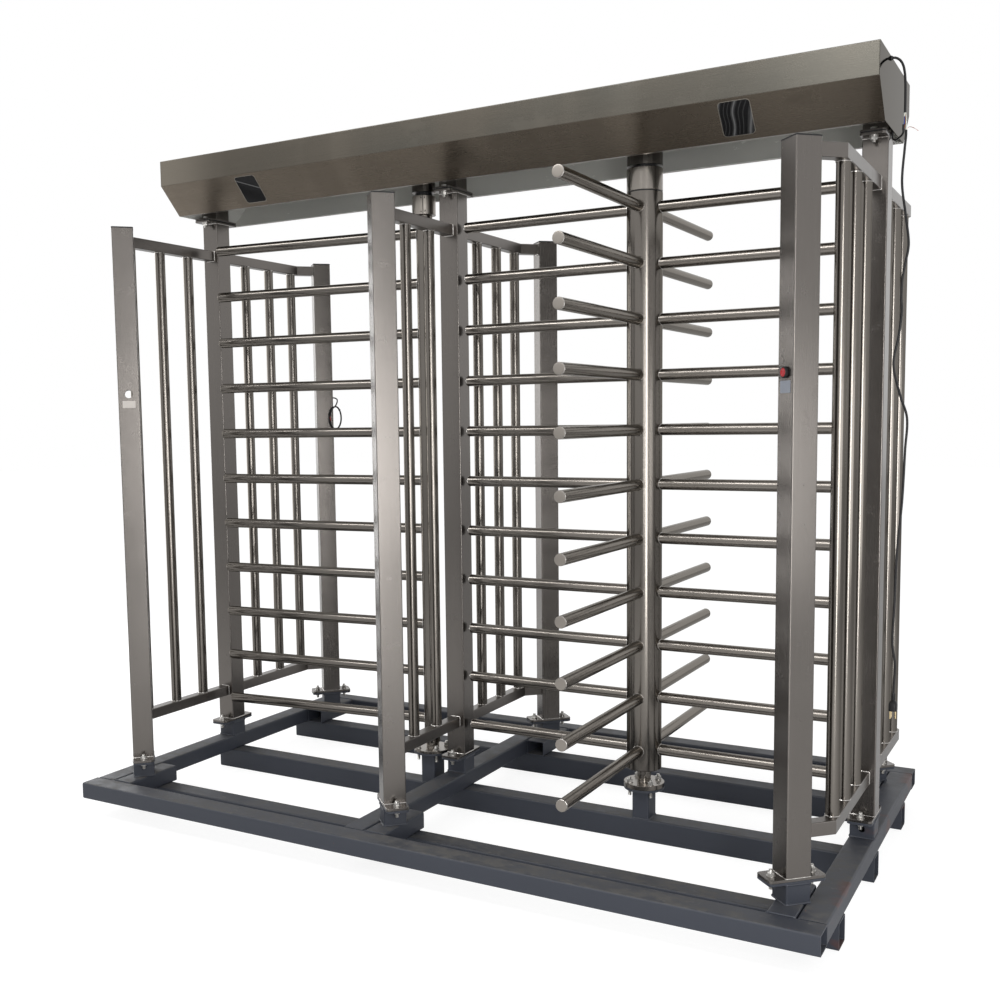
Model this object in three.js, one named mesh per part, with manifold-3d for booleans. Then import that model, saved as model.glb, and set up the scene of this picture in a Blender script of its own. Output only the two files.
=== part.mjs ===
// A full height turnstile and a full height swing gate, side by side on one base frame and
// under one header. Millimetres, +Z up. X runs along the header and people walk along Y.
// The origin is on the floor, in the middle of the base frame.

import * as THREE from 'three';
import { mergeVertices } from 'three/addons/utils/BufferGeometryUtils.js';
import Module from 'manifold-3d';

const wasm = await Module();
wasm.setup();

// Clearances
const seatGap = 0.3;
const runningGap = 0.3;
const cutOverrun = 5;

// Base frame: skids on the floor, sills and cross beams on top of them
const frameLength = 2700;
const tubeWidth = 80;
const tubeWall = 4;
const skidHeight = 80;
const sillHeight = 60;
const skidInset = 76;
const sillSetback = 154;
const seatTubeGap = 3;
const seatOverhang = 130;

// Posts, their foot plates and the stubs that carry them
const postWidth = 76;
const postWall = 3;
const stubHeight = 57;
const plateThickness = 8;
const plateLength = 176;
const wireHole = 30;
const stubWireHole = 20;
const wireWayLine = 'right';
const endPostTop = 2188;
const capHeight = 3;
const capInset = 1;

// Bolts of the plates and flanges
const boltOffset = 63;
const boltDiameter = 12;
const boltHoleClearance = 1;
const nutAcrossCorners = 21;
const nutHeight = 10;
const boltProtrusion = 9;
const boltTail = 22;

// Guard panels between a mid post and an end post
const railSize = 40;
const railWall = 2;
const railDrop = 8;
const bottomRailRise = 103;
const guardBendReach = 518;
const guardBarFirst = 175;
const guardBarToBend = 33;
const guardBarCount = 3;

// Round bar stock of the arms, the gate and the guards
const barDiameter = 38;
const barWall = 2;

// Rotor lane
const rotorPitch = 740;
const armClearance = 14;
const tierCount = 11;
const firstTierHeight = 325;
const topTierDrop = 141;
const columnDiameter = 120;
const columnWall = 4;
const columnPlate = 12;
const columnFootDrop = 70;
const columnHeadRise = 52;
const rotorCollarHeight = 75;
const rotorPinDiameter = 48;
const rotorFlangeDiameter = 140;
const rotorFlangeThickness = 16;
const rotorPedestalHeight = 102;
const rotorShaftDiameter = 50;
const rotorNeckDiameter = 82;
const spigotHeight = 34;
const pinReach = 38;

// Gate lane
const gatePivotOffset = 126;
const gateAjarDegrees = 5;
const latchGap = 39;
const gateColumnDiameter = 61;
const gateColumnWall = 3;
const gateColumnFootDrop = 91;
const gateColumnHeadRise = 61;
const gateCollarDiameter = 88;
const gateCollarHeight = 69;
const gateShoulderDiameter = 50;
const gatePinDiameter = 36;
const gateFlangeDiameter = 145;
const gateFlangeThickness = 10;
const gatePedestalHeight = 115;
const gateShaftDiameter = 40;
const gateNeckDiameter = 64;
const gateHousingLift = 3;

// Pedestals of both foot bearings
const pedestalWidth = 60;
const pedestalDepth = 76;
const flangeBoltCount = 4;
const flangeBoltInset = 16;

// Split collars that clamp a column to its shaft
const collarSlit = 3;
const rotorCollarSlitDegrees = 211;
const gateCollarSlitDegrees = -64;

// Header casing
const headerUnderside = 2309;
const headerOverhang = 8;
const headerWidth = 520;
const headerFootWidth = 324;
const slopeRise = 103;
const fasciaHeight = 96;
const casingSheet = 2;
const casingLip = 15;

// Indicator windows in the front slope
const windowWidth = 97;
const windowHeight = 115;
const windowThickness = 6;
const windowProud = 0.5;
const windowRadius = 12;
const windowInset = 417;
const windowSlopeShare = 0.525;

// Header beam, hangers and what hangs from the beam
const beamWidth = 100;
const beamHeight = 60;
const beamWall = 3;
const beamEndGap = 18;
const headPlateRise = 83;
const headPlateThickness = 8;
const standoffDiameter = 16;
const housingDrop = 6;
const shaftHeadRise = 127;
const rotorHeadPlateLength = 300;
const rotorHeadPlateDepth = 340;
const rotorStandoffX = 125;
const rotorStandoffY = 36;
const gateHeadPlateLength = 160;
const gateHeadPlateDepth = 220;
const gateStandoffX = 62;
const gateStandoffY = 36;
const wheelThickness = 12;
const wheelLift = 4;

// Star wheel and the pawls that lock it
const wheelRadius = 90;
const wheelNotchWidth = 26;
const wheelNotchDepth = 17;
const wheelNotches = 4;
const pawlReach = 90;
const pawlWidth = 14;
const pawlBarLift = 20;
const pawlToothWidth = 10;
const pawlToothGap = 2;
const pawlBoss = 28;
const pawlPin = 12;
const pawlPinCollar = 22;
const solenoidSize = 36;
const solenoidHeight = 30;
const solenoidGap = 6;

// Limit cam of the gate
const camRadius = 55;
const camNotchWidth = 18;
const camNotchDepth = 12;

// Control box under the header beam
const controlBoxLength = 320;
const controlBoxDepth = 110;
const controlBoxHeight = 70;
const controlBoxShift = 60;
const controlBoxWall = 3;

// Push button and the holes for it
const buttonHeight = 1585;
const bezelDiameter = 31;
const bezelHeight = 8.5;
const bezelWall = 2;
const buttonProud = 2;
const buttonTravel = 4;
const buttonCapThickness = 4;
const buttonStemDiameter = 14;
const buttonStemLength = 22;
const buttonHole = 16;
const buttonThreadLength = 26;
const spareHole = 30;

const leadHole = 8;

// Mains lead at the right end of the header. Its runs are given from the end face of the header
// outwards, from the top of the header down and from the middle towards the front.
const cordDiameter = 7;
const cordFront = 90;
const glandDrop = 8;
const glandDiameter = 14;
const glandLength = 6;
const glandThread = 10;
const glandThreadLength = 10;
const cordTail = 16;
const cordWay = 0.6;
const spliceDiameter = 16;
const spliceFoot = 216;
const spliceLength = 48;
const spliceOut = 42;
const upperCordRun = [
  { out: 2, drop: 8 },
  { out: 12, drop: 8.5 },
  { out: 24, drop: 16 },
  { out: 33, drop: 30 },
  { out: 38.5, drop: 52 },
  { out: 41, drop: 80 },
  { out: 42, drop: 126 },
];
const spliceLeadDiameter = 6;
const spliceLeadRun = [
  { out: 38.5, drop: 221, front: 89.5 },
  { out: 34, drop: 226, front: 80 },
  { out: 22, drop: 228, front: 57 },
  { out: 6, drop: 226, front: 22 },
  { out: -5.2, drop: 216, front: 3 },
  { out: -6, drop: 190, front: 0 },
  { out: -6, drop: 168, front: 0 },
];
const lowerCordRun = [
  { out: 46, drop: 232 },
  { out: 43, drop: 271 },
  { out: 38, drop: 366 },
  { out: 50, drop: 459 },
  { out: 60, drop: 545 },
  { out: 52, drop: 596 },
  { out: 45, drop: 639 },
  { out: 43, drop: 691 },
  { out: 45, drop: 737 },
  { out: 38, drop: 807 },
  { out: 25, drop: 888 },
  { out: 46, drop: 982 },
  { out: 66, drop: 1046 },
  { out: 63, drop: 1144 },
  { out: 58, drop: 1292 },
  { out: 47, drop: 1441 },
  { out: 43, drop: 1592 },
  { out: 40, drop: 1735 },
  { out: 48, drop: 1790 },
  { out: 46, drop: 1858 },
];
const plugOut = 45.5;
const plugTopDrop = 1880;
const plugLength = 54;
const plugNeckLength = 22;
const plugNeckDiameter = 12;
const plugWidth = 32;
const plugDepth = 24;
const plugPinLength = 25;
const plugPinDiameter = 5;
const plugPinPitch = 20;
const plugEarthOffset = 7;

// Spare lead tied in a loop at the left rear end post, in the frame of that post
const leadDiameter = 6;
const leadTail = 16;
const loopHalfWidth = 27;
const loopNarrowing = 1;
const loopHalfHeight = 51;
const loopDrop = 93;
const loopFlankReach = 32;
const loopSideGap = 12;
const loopPitch = 7.3;
const loopTurns = 2.125;
const stepsPerLoop = 24;
const leadInRun = [
  { across: 0, out: 4, drop: 0 },
  { across: 8, out: 17, drop: 3 },
  { across: 27, out: 21, drop: 12 },
  { across: 43, out: 15, drop: 28 },
];
const leadEndRun = [
  { across: 65.5, out: -17, drop: 72 },
  { across: 66.5, out: -19, drop: 88 },
];

// Round shapes are prisms with these many sides
const barSides = 12;
const boreSides = 6;
const columnSides = 24;
const wheelSides = 32;
const boltSides = 6;
const windowCornerSteps = 4;
const cordSides = 8;
const leadSides = 6;
const upperCordSteps = 18;
const spliceLeadSteps = 18;
const lowerCordSteps = 60;
const leadEndSteps = 14;

// Derived heights
const sillFoot = skidHeight + seatGap;
const sillTop = sillFoot + sillHeight;
const stubTop = sillTop + stubHeight;
const paintedPlateTop = stubTop + plateThickness;
const footPlateFoot = paintedPlateTop + seatGap;
const footPlateTop = footPlateFoot + plateThickness;
const hangerPlateFoot = headerUnderside - plateThickness;
const topPlateTop = hangerPlateFoot - seatGap;
const topPlateFoot = topPlateTop - plateThickness;
const headerBend = headerUnderside + slopeRise;
const headerTop = headerBend + fasciaHeight;
const beamTop = headerTop - casingSheet - seatGap;
const beamFoot = beamTop - beamHeight;
const hangingTop = beamFoot - seatGap;
const headPlateFoot = headerUnderside + headPlateRise;
const headPlateTop = headPlateFoot + headPlateThickness;
const wheelFoot = headPlateTop + wheelLift;
const wheelTop = wheelFoot + wheelThickness;
const topTierHeight = headerUnderside - topTierDrop;
const tierPitch = (topTierHeight - firstTierHeight) / (tierCount - 1);
const tierHeights = Array.from({ length: tierCount }, (_, i) => firstTierHeight + i * tierPitch);

// Derived plan positions
const frameHalf = frameLength / 2;
const headerLength = frameLength + 2 * headerOverhang;
const headerEnd = headerLength / 2;
const rightX = frameHalf - tubeWidth / 2;
const leftX = -rightX;
const rotorX = rightX - rotorPitch;
const centreX = rotorX - rotorPitch;
const gateX = centreX - gatePivotOffset;
const armLength = rotorPitch - postWidth / 2 - armClearance;
const gateLength = gateX - leftX - postWidth / 2 - latchGap;
const seatOffset = tubeWidth + seatTubeGap;
const guardBarPitch = (guardBendReach - guardBarToBend - guardBarFirst) / (guardBarCount - 1);
const endPostY = guardBendReach + seatOffset;
const skidY = endPostY - skidInset;
const sillY = endPostY + sillSetback;
const sillInnerY = sillY - tubeWidth / 2;

// The three post lines. A wing turns from its line towards the lane on its own side.
const lines = [
  { name: 'left', x: leftX, wing: 1 },
  { name: 'centre', x: centreX, wing: 1 },
  { name: 'right', x: rightX, wing: -1 },
];
const sides = [
  { name: 'front', y: -1 },
  { name: 'rear', y: 1 },
];

// Finishes
function finish(color, roughness, metalness) {
  return new THREE.MeshStandardMaterial({ color, roughness, metalness, flatShading: true });
}

const brushedSteel = finish(0xa39c93, 0.42, 0.9);
const satinTube = finish(0xb4aea6, 0.28, 0.95);
const darkSteel = finish(0x4a4a4c, 0.45, 0.8);
const slatePaint = finish(0x3b414c, 0.62, 0.1);
const blackGloss = finish(0x08090a, 0.08, 0.1);
const zincSteel = finish(0x9fa3a6, 0.4, 0.8);
const redPlastic = finish(0xb01525, 0.35, 0);
const blackPlastic = finish(0x141516, 0.5, 0);
const blackRubber = finish(0x0e0e0f, 0.7, 0);
const greyPaint = finish(0xb9bbb6, 0.55, 0);

// Solids from closed geometries, and back
function solid(geometry) {
  geometry.deleteAttribute('normal');
  geometry.deleteAttribute('uv');
  const merged = mergeVertices(geometry);
  const vertProperties = new Float32Array(merged.attributes.position.array);
  const triVerts = new Uint32Array(merged.index.array);
  return new wasm.Manifold(new wasm.Mesh({ numProp: 3, vertProperties, triVerts }));
}

function join(...bodies) {
  return bodies.reduce((whole, body) => whole.add(body));
}

function cut(body, ...cutters) {
  return cutters.reduce((rest, cutter) => rest.subtract(cutter), body);
}

function geometryOf(body) {
  const mesh = body.getMesh();
  const geometry = new THREE.BufferGeometry();
  geometry.setAttribute('position', new THREE.BufferAttribute(mesh.vertProperties, 3));
  geometry.setIndex(new THREE.BufferAttribute(mesh.triVerts, 1));
  geometry.computeVertexNormals();
  return geometry;
}

const turnstile = new THREE.Group();

function addPiece(name, body, material, parent = turnstile) {
  const mesh = new THREE.Mesh(geometryOf(body), material);
  mesh.name = name;
  parent.add(mesh);
  return mesh;
}

// A box on a foot height, centred on x and y
function block(sizeX, sizeY, foot, top, x = 0, y = 0, turn = 0) {
  const geometry = new THREE.BoxGeometry(sizeX, sizeY, top - foot);
  geometry.rotateZ(turn);
  geometry.translate(x, y, (foot + top) / 2);
  return solid(geometry);
}

// An upright round bar between two heights
function rod(diameter, foot, top, x = 0, y = 0, roundSides = barSides) {
  const geometry = new THREE.CylinderGeometry(diameter / 2, diameter / 2, top - foot, roundSides);
  geometry.rotateX(Math.PI / 2);
  geometry.translate(x, y, (foot + top) / 2);
  return solid(geometry);
}

// The diameter of a hole that a round bar can turn in without its corners touching
function runningBore(diameter) {
  return (diameter + 2 * runningGap) / Math.cos(Math.PI / barSides);
}

// A level round bar along X between two ends
function barAlongX(diameter, from, to, z, roundSides = barSides) {
  const geometry = new THREE.CylinderGeometry(diameter / 2, diameter / 2, to - from, roundSides);
  geometry.rotateZ(Math.PI / 2);
  geometry.translate((from + to) / 2, 0, z);
  return solid(geometry);
}

// A level round bar along Y between two ends
function barAlongY(diameter, from, to, z, x = 0, roundSides = barSides) {
  const geometry = new THREE.CylinderGeometry(diameter / 2, diameter / 2, to - from, roundSides);
  geometry.translate(x, (from + to) / 2, z);
  return solid(geometry);
}

// A rectangular tube along X, open at both ends
function tubeAlongX(length, width, foot, height, wall, x, y) {
  const outer = block(length, width, foot, foot + height, x, y);
  const bore = block(length + 2 * cutOverrun, width - 2 * wall, foot + wall, foot + height - wall, x, y);
  return cut(outer, bore);
}

// A rectangular tube along Y, open at both ends
function tubeAlongY(length, width, foot, height, wall, x, y) {
  const outer = block(width, length, foot, foot + height, x, y);
  const bore = block(width - 2 * wall, length + 2 * cutOverrun, foot + wall, foot + height - wall, x, y);
  return cut(outer, bore);
}

// A square upright tube, open at both ends
function squarePost(foot, top, x = 0, y = 0, turn = 0) {
  const outer = block(postWidth, postWidth, foot, top, x, y, turn);
  const inner = postWidth - 2 * postWall;
  return cut(outer, block(inner, inner, foot - cutOverrun, top + cutOverrun, x, y, turn));
}

// Where the two bolts of a plate stand, for a plate whose long side is turned from Y
function boltSpots(x, y, turn) {
  return [-boltOffset, boltOffset].map((reach) => ({
    x: x - reach * Math.sin(turn),
    y: y + reach * Math.cos(turn),
  }));
}

// A long plate with a wire hole in its middle
function plate(foot, x = 0, y = 0, turn = 0) {
  const slab = block(postWidth, plateLength, foot, foot + plateThickness, x, y, turn);
  return cut(slab, rod(wireHole, foot - cutOverrun, foot + plateThickness + cutOverrun, x, y, boreSides));
}

function boltHoles(body, foot, turn = 0) {
  const holeDiameter = boltDiameter + 2 * boltHoleClearance;
  const holes = boltSpots(0, 0, turn).map((spot) =>
    rod(holeDiameter, foot - cutOverrun, foot + plateThickness + cutOverrun, spot.x, spot.y, boltSides));
  return cut(body, ...holes);
}

// A bolt from a plate's far side, through the loose plate to a nut on it
function boltUp(x, y, tailFoot, nutFoot) {
  const shank = rod(boltDiameter, tailFoot, nutFoot + nutHeight + boltProtrusion, x, y, boltSides);
  const nut = rod(nutAcrossCorners, nutFoot, nutFoot + nutHeight, x, y, boltSides);
  return join(shank, nut);
}

// Stub, painted plate and bolts that a post stands on
function postFoot(x, y, turn) {
  const stub = squarePost(sillTop - tubeWall / 2, stubTop + plateThickness / 2, x, y, turn);
  const bolts = boltSpots(x, y, turn).map((spot) =>
    boltUp(spot.x, spot.y, stubTop - boltTail, footPlateTop + seatGap));
  return join(stub, plate(stubTop, x, y, turn), ...bolts);
}

// The turn of an end post, whose foot plate runs on along the bent end of its guard
function wingTurn(line, side) {
  return -line.wing * side.y * Math.PI / 4;
}

// Skids. The middle one carries the two pedestals.
function skid(y) {
  return tubeAlongX(frameLength, tubeWidth, 0, skidHeight, tubeWall, 0, y);
}

function pedestal(x, height, flangeDiameter, flangeThickness) {
  const top = skidHeight + height;
  const plateTop = top + plateThickness;
  const pillar = block(pedestalWidth, pedestalDepth, skidHeight - tubeWall / 2, top + plateThickness / 2, x);
  const drain = block(pedestalWidth - 2 * tubeWall, pedestalDepth + 2 * cutOverrun,
    skidHeight + tubeWall, top - tubeWall, x);
  const disc = rod(flangeDiameter, top, plateTop, x, 0, columnSides);
  const nutFoot = plateTop + flangeThickness + 2 * seatGap;
  const bolts = flangeBoltSpots(flangeDiameter).map((spot) =>
    boltUp(x + spot.x, spot.y, top - boltTail, nutFoot));
  return join(cut(pillar, drain), disc, ...bolts);
}

function flangeBoltSpots(flangeDiameter) {
  const reach = flangeDiameter / 2 - flangeBoltInset;
  return Array.from({ length: flangeBoltCount }, (_, i) => {
    const angle = (i + 1 / 2) * 2 * Math.PI / flangeBoltCount;
    return { x: reach * Math.cos(angle), y: reach * Math.sin(angle) };
  });
}

const rotorPedestal = pedestal(rotorX, rotorPedestalHeight, rotorFlangeDiameter, rotorFlangeThickness);
const gatePedestal = pedestal(gateX, gatePedestalHeight, gateFlangeDiameter, gateFlangeThickness);
addPiece('skid_front', skid(-skidY), slatePaint);
addPiece('skid_middle', join(skid(0), rotorPedestal, gatePedestal), slatePaint);
addPiece('skid_rear', skid(skidY), slatePaint);

// Cross beams, one under each mid post
function crossBeam(line) {
  const length = 2 * (sillInnerY - seatGap);
  const beam = tubeAlongY(length, tubeWidth, sillFoot, sillHeight, tubeWall, line.x, 0);
  const body = join(beam, postFoot(line.x, 0, 0));
  const wireWay = barAlongY(stubWireHole, -postWidth, 0, (sillTop + stubTop) / 2, line.x);
  return line.name === wireWayLine ? cut(body, wireWay) : body;
}

// A sill with the seat tubes that its three end posts stand on. The stub corners that reach over
// a cross beam are cut clear of it.
function sill(side) {
  const rail = tubeAlongX(frameLength, tubeWidth, sillFoot, sillHeight, tubeWall, 0, side.y * sillY);
  const seatEnd = endPostY - seatOverhang;
  const seatRoot = sillInnerY + tubeWall / 2;
  const seats = lines.map((line) => tubeAlongY(seatRoot - seatEnd, tubeWidth, sillFoot, sillHeight,
    tubeWall, line.x + line.wing * seatOffset, side.y * (seatRoot + seatEnd) / 2));
  const feet = lines.map((line) =>
    postFoot(line.x + line.wing * seatOffset, side.y * endPostY, wingTurn(line, side)));
  const clearances = lines.map((line) => block(tubeWidth + 2 * seatGap, 2 * (sillInnerY - seatGap),
    sillFoot - cutOverrun, sillTop + seatGap, line.x, 0));
  return cut(join(rail, ...seats, ...feet), ...clearances);
}

for (const line of lines) {
  addPiece(`cross_beam_${line.name}`, crossBeam(line), slatePaint);
}
for (const side of sides) {
  addPiece(`sill_${side.name}`, sill(side), slatePaint);
}

// Mid posts, from their foot plates to the plates that the header hangs on
function midPost() {
  const tube = squarePost(footPlateTop - plateThickness / 2, topPlateFoot + plateThickness / 2);
  const footPlate = boltHoles(plate(footPlateFoot), footPlateFoot);
  const topPlate = boltHoles(plate(topPlateFoot), topPlateFoot);
  return join(tube, footPlate, topPlate);
}

for (const line of lines) {
  addPiece(`mid_post_${line.name}`, midPost(), brushedSteel).position.x = line.x;
}

// End posts stand on their foot plates, and a cap closes them at the top. In a post's own frame its
// plate runs along Y. Three of them have a hole for a button or a lead.
const postHoles = {
  end_post_front_left: { diameter: spareHole, from: -postWidth, to: postWidth },
  end_post_front_right: { diameter: buttonHole, from: -postWidth, to: 0 },
  end_post_rear_left: { diameter: leadHole, from: 0, to: postWidth },
};

function endPost(name) {
  const tube = squarePost(footPlateTop - plateThickness / 2, endPostTop);
  const capWidth = postWidth - 2 * capInset;
  const cap = block(capWidth, capWidth, endPostTop - capHeight, endPostTop + capHeight);
  const post = join(tube, cap, boltHoles(plate(footPlateFoot), footPlateFoot));
  const hole = postHoles[name];
  return hole ? cut(post, barAlongY(hole.diameter, hole.from, hole.to, buttonHeight)) : post;
}

for (const side of sides) {
  for (const line of lines) {
    const name = `end_post_${side.name}_${line.name}`;
    const post = addPiece(name, endPost(name), brushedSteel);
    post.position.set(line.x + line.wing * seatOffset, side.y * endPostY, 0);
    post.rotation.z = wingTurn(line, side);
  }
}

// Guard panels: from the mid post's face the rails run to the bend and then turn by 45 degrees
// towards the lane, to the end post's face. The outline has x towards the lane and y outwards.
function railOutline(width, line, side) {
  const half = width / 2;
  const start = postWidth / 2 + seatGap;
  const mitre = half * Math.tan(Math.PI / 8);
  const along = (seatOffset * Math.SQRT2 - postWidth / 2 - seatGap) * Math.SQRT1_2;
  const across = half * Math.SQRT1_2;
  const corners = [
    [-half, start],
    [-half, guardBendReach + mitre],
    [along - across, guardBendReach + along + across],
    [along + across, guardBendReach + along - across],
    [half, guardBendReach - mitre],
    [half, start],
  ];
  return corners.map(([x, y]) => new THREE.Vector2(line.wing * x, side.y * y));
}

function railPrism(width, foot, top, line, side) {
  const shape = new THREE.Shape(railOutline(width, line, side));
  const geometry = new THREE.ExtrudeGeometry(shape, { depth: top - foot, bevelEnabled: false });
  geometry.translate(0, 0, foot);
  return solid(geometry);
}

// The mouths of a rail at both posts, which open its bore
function railMouths(foot, top, line, side) {
  const inner = railSize - 2 * railWall;
  const atMid = block(inner, 2 * cutOverrun, foot + railWall, top - railWall, 0, side.y * postWidth / 2);
  const reach = (seatOffset * Math.SQRT2 - postWidth / 2) * Math.SQRT1_2;
  const atEnd = block(inner, 2 * cutOverrun, foot + railWall, top - railWall,
    line.wing * reach, side.y * (guardBendReach + reach), wingTurn(line, side));
  return [atMid, atEnd];
}

function guardPanel(line, side) {
  const topRailTop = endPostTop - railDrop;
  const topRailFoot = topRailTop - railSize;
  const bottomRailFoot = footPlateTop + bottomRailRise;
  const bottomRailTop = bottomRailFoot + railSize;
  const bars = [];
  const bores = [];
  for (let i = 0; i < guardBarCount; i += 1) {
    const y = side.y * (guardBarFirst + i * guardBarPitch);
    bars.push(rod(barDiameter, bottomRailTop - railWall / 2, topRailFoot + railWall / 2, 0, y));
    bores.push(rod(barDiameter - 2 * barWall, bottomRailTop - 2 * railWall, topRailFoot + 2 * railWall, 0, y,
      boreSides));
  }
  const rails = [[bottomRailFoot, bottomRailTop], [topRailFoot, topRailTop]].map(([foot, top]) => {
    const bore = railPrism(railSize - 2 * railWall, foot + railWall, top - railWall, line, side);
    return cut(railPrism(railSize, foot, top, line, side), bore, ...railMouths(foot, top, line, side));
  });
  return cut(join(...rails, ...bars), ...bores);
}

for (const side of sides) {
  for (const line of lines) {
    const name = `guard_panel_${side.name}_${line.name}`;
    addPiece(name, guardPanel(line, side), satinTube).position.x = line.x;
  }
}

// Rotor: the column is a capped tube on a fixed pin, and each tier is a cross of two bars through it
const rotor = new THREE.Group();
rotor.position.x = rotorX;
turnstile.add(rotor);
const columnFoot = firstTierHeight - columnFootDrop;
const columnTop = topTierHeight + columnHeadRise;

function rotorColumn() {
  const outer = rod(columnDiameter, columnFoot, columnTop, 0, 0, columnSides);
  const hollow = rod(columnDiameter - 2 * columnWall, columnFoot + columnPlate, columnTop - columnPlate);
  const pinWay = rod(runningBore(rotorPinDiameter), columnFoot - cutOverrun,
    columnFoot + columnPlate + cutOverrun);
  const spigot = rod(rotorShaftDiameter, columnTop - columnPlate / 2, columnTop + spigotHeight);
  const holeDiameter = barDiameter + 2 * seatGap;
  const armHoles = tierHeights.flatMap((z) => [
    barAlongX(holeDiameter, -columnDiameter, columnDiameter, z),
    barAlongY(holeDiameter, -columnDiameter, columnDiameter, z),
  ]);
  return cut(join(cut(outer, hollow), spigot), pinWay, ...armHoles);
}

function armTier() {
  const boreLength = armLength - barWall;
  const bars = join(barAlongX(barDiameter, -armLength, armLength, 0),
    barAlongY(barDiameter, -armLength, armLength, 0));
  const boreDiameter = barDiameter - 2 * barWall;
  const bores = join(barAlongX(boreDiameter, -boreLength, boreLength, 0, boreSides),
    barAlongY(boreDiameter, -boreLength, boreLength, 0, 0, boreSides));
  return cut(bars, bores, rod(barDiameter / 2, 0, barDiameter, 0, 0, boreSides));
}

addPiece('rotor_column', rotorColumn(), satinTube, rotor);
tierHeights.forEach((z, i) => {
  const name = `rotor_arm_tier_${String(i + 1).padStart(2, '0')}`;
  addPiece(name, armTier(), satinTube, rotor).position.z = z;
});

// A split clamp collar round a spigot and a shaft
function clampCollar(outerDiameter, shaftDiameter, foot, top, slitDegrees) {
  const ring = rod(outerDiameter, foot, top, 0, 0, columnSides);
  const bore = rod(shaftDiameter + 2 * seatGap, foot - cutOverrun, top + cutOverrun);
  const angle = THREE.MathUtils.degToRad(slitDegrees);
  const slit = block(outerDiameter, collarSlit, foot - cutOverrun, top + cutOverrun,
    outerDiameter / 2 * Math.cos(angle), outerDiameter / 2 * Math.sin(angle), angle);
  return cut(ring, bore, slit);
}

const rotorCollarFoot = columnTop + seatGap;
const rotorCollarTop = rotorCollarFoot + rotorCollarHeight;
addPiece('rotor_clamp_collar', clampCollar(columnDiameter, rotorShaftDiameter, rotorCollarFoot,
  rotorCollarTop, rotorCollarSlitDegrees), satinTube, rotor);

// A foot bearing: a flange bolted on its pedestal and a fixed pin that reaches into the column
function footBearing(flangeDiameter, flangeThickness, pedestalHeight, shoulder, pin, columnEnd) {
  const foot = skidHeight + pedestalHeight + plateThickness + seatGap;
  const flange = rod(flangeDiameter, foot, foot + flangeThickness, 0, 0, columnSides);
  const shoulderRod = rod(shoulder, foot + flangeThickness / 2, columnEnd - runningGap);
  const pinRod = rod(pin, foot + flangeThickness / 2, columnEnd + pinReach);
  const holes = flangeBoltSpots(flangeDiameter).map((spot) => rod(boltDiameter + 2 * boltHoleClearance,
    foot - cutOverrun, foot + flangeThickness + cutOverrun, spot.x, spot.y, boltSides));
  return join(cut(flange, ...holes), shoulderRod, pinRod);
}

addPiece('rotor_foot_bearing', footBearing(rotorFlangeDiameter, rotorFlangeThickness,
  rotorPedestalHeight, rotorPinDiameter, rotorPinDiameter, columnFoot), brushedSteel, rotor);

// A bearing housing under a head plate that hangs on stand-offs from the header beam
function bearingHousing(housing, sizeX, sizeY, standoffX, standoffY, shaftDiameter) {
  const barrel = rod(housing.diameter, housing.foot, headPlateFoot + headPlateThickness / 2, 0, 0,
    columnSides);
  const slab = block(sizeX, sizeY, headPlateFoot, headPlateTop);
  const standoffs = [-1, 1].flatMap((i) => [-1, 1].map((j) => rod(standoffDiameter,
    headPlateTop - headPlateThickness / 2, hangingTop, i * standoffX, j * standoffY, boreSides)));
  const bore = rod(runningBore(shaftDiameter), housing.foot - cutOverrun, headPlateTop + cutOverrun);
  return cut(join(barrel, slab, ...standoffs), bore);
}

// The plan of a lock pawl about its wheel: the notch it drops into lies at an angle, and its pin
// stands to one side of that
const pawlBarRadius = wheelRadius + pawlBarLift + pawlWidth / 2;
const pawls = [
  { name: 'a', angle: Math.PI / 4, hand: 1 },
  { name: 'b', angle: -Math.PI / 4, hand: -1 },
];

function pawlPoint(pawl, radial, tangential) {
  const side = pawl.hand * tangential;
  return {
    x: radial * Math.cos(pawl.angle) - side * Math.sin(pawl.angle),
    y: radial * Math.sin(pawl.angle) + side * Math.cos(pawl.angle),
  };
}

function pawlPinPost(pawl) {
  const spot = pawlPoint(pawl, pawlBarRadius, pawlReach);
  const pin = rod(pawlPin, headPlateTop - headPlateThickness / 2, wheelTop + wheelLift, spot.x, spot.y);
  const collar = rod(pawlPinCollar, headPlateTop - headPlateThickness / 2, wheelFoot - seatGap, spot.x, spot.y);
  return join(pin, collar);
}

function solenoid(pawl) {
  const radial = pawlBarRadius + pawlWidth / 2 + solenoidGap + solenoidSize / 2;
  const spot = pawlPoint(pawl, radial, pawlReach / 2);
  return block(solenoidSize, solenoidSize, headPlateTop - headPlateThickness / 2,
    headPlateTop + solenoidHeight, spot.x, spot.y, pawl.angle);
}

const rotorHousing = bearingHousing({ diameter: columnDiameter, foot: headerUnderside - housingDrop },
  rotorHeadPlateLength, rotorHeadPlateDepth, rotorStandoffX, rotorStandoffY, rotorShaftDiameter);
const lockGear = pawls.flatMap((pawl) => [pawlPinPost(pawl), solenoid(pawl)]);
addPiece('rotor_bearing_housing', join(rotorHousing, ...lockGear), darkSteel, rotor);

// Drive shaft of the rotor with its neck ring and star wheel
function shaft(diameter, foot, neckDiameter, neckFoot, neckTop, wheel) {
  const core = rod(diameter, foot, headerUnderside + shaftHeadRise);
  return join(core, rod(neckDiameter, neckFoot, neckTop), wheel);
}

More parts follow.
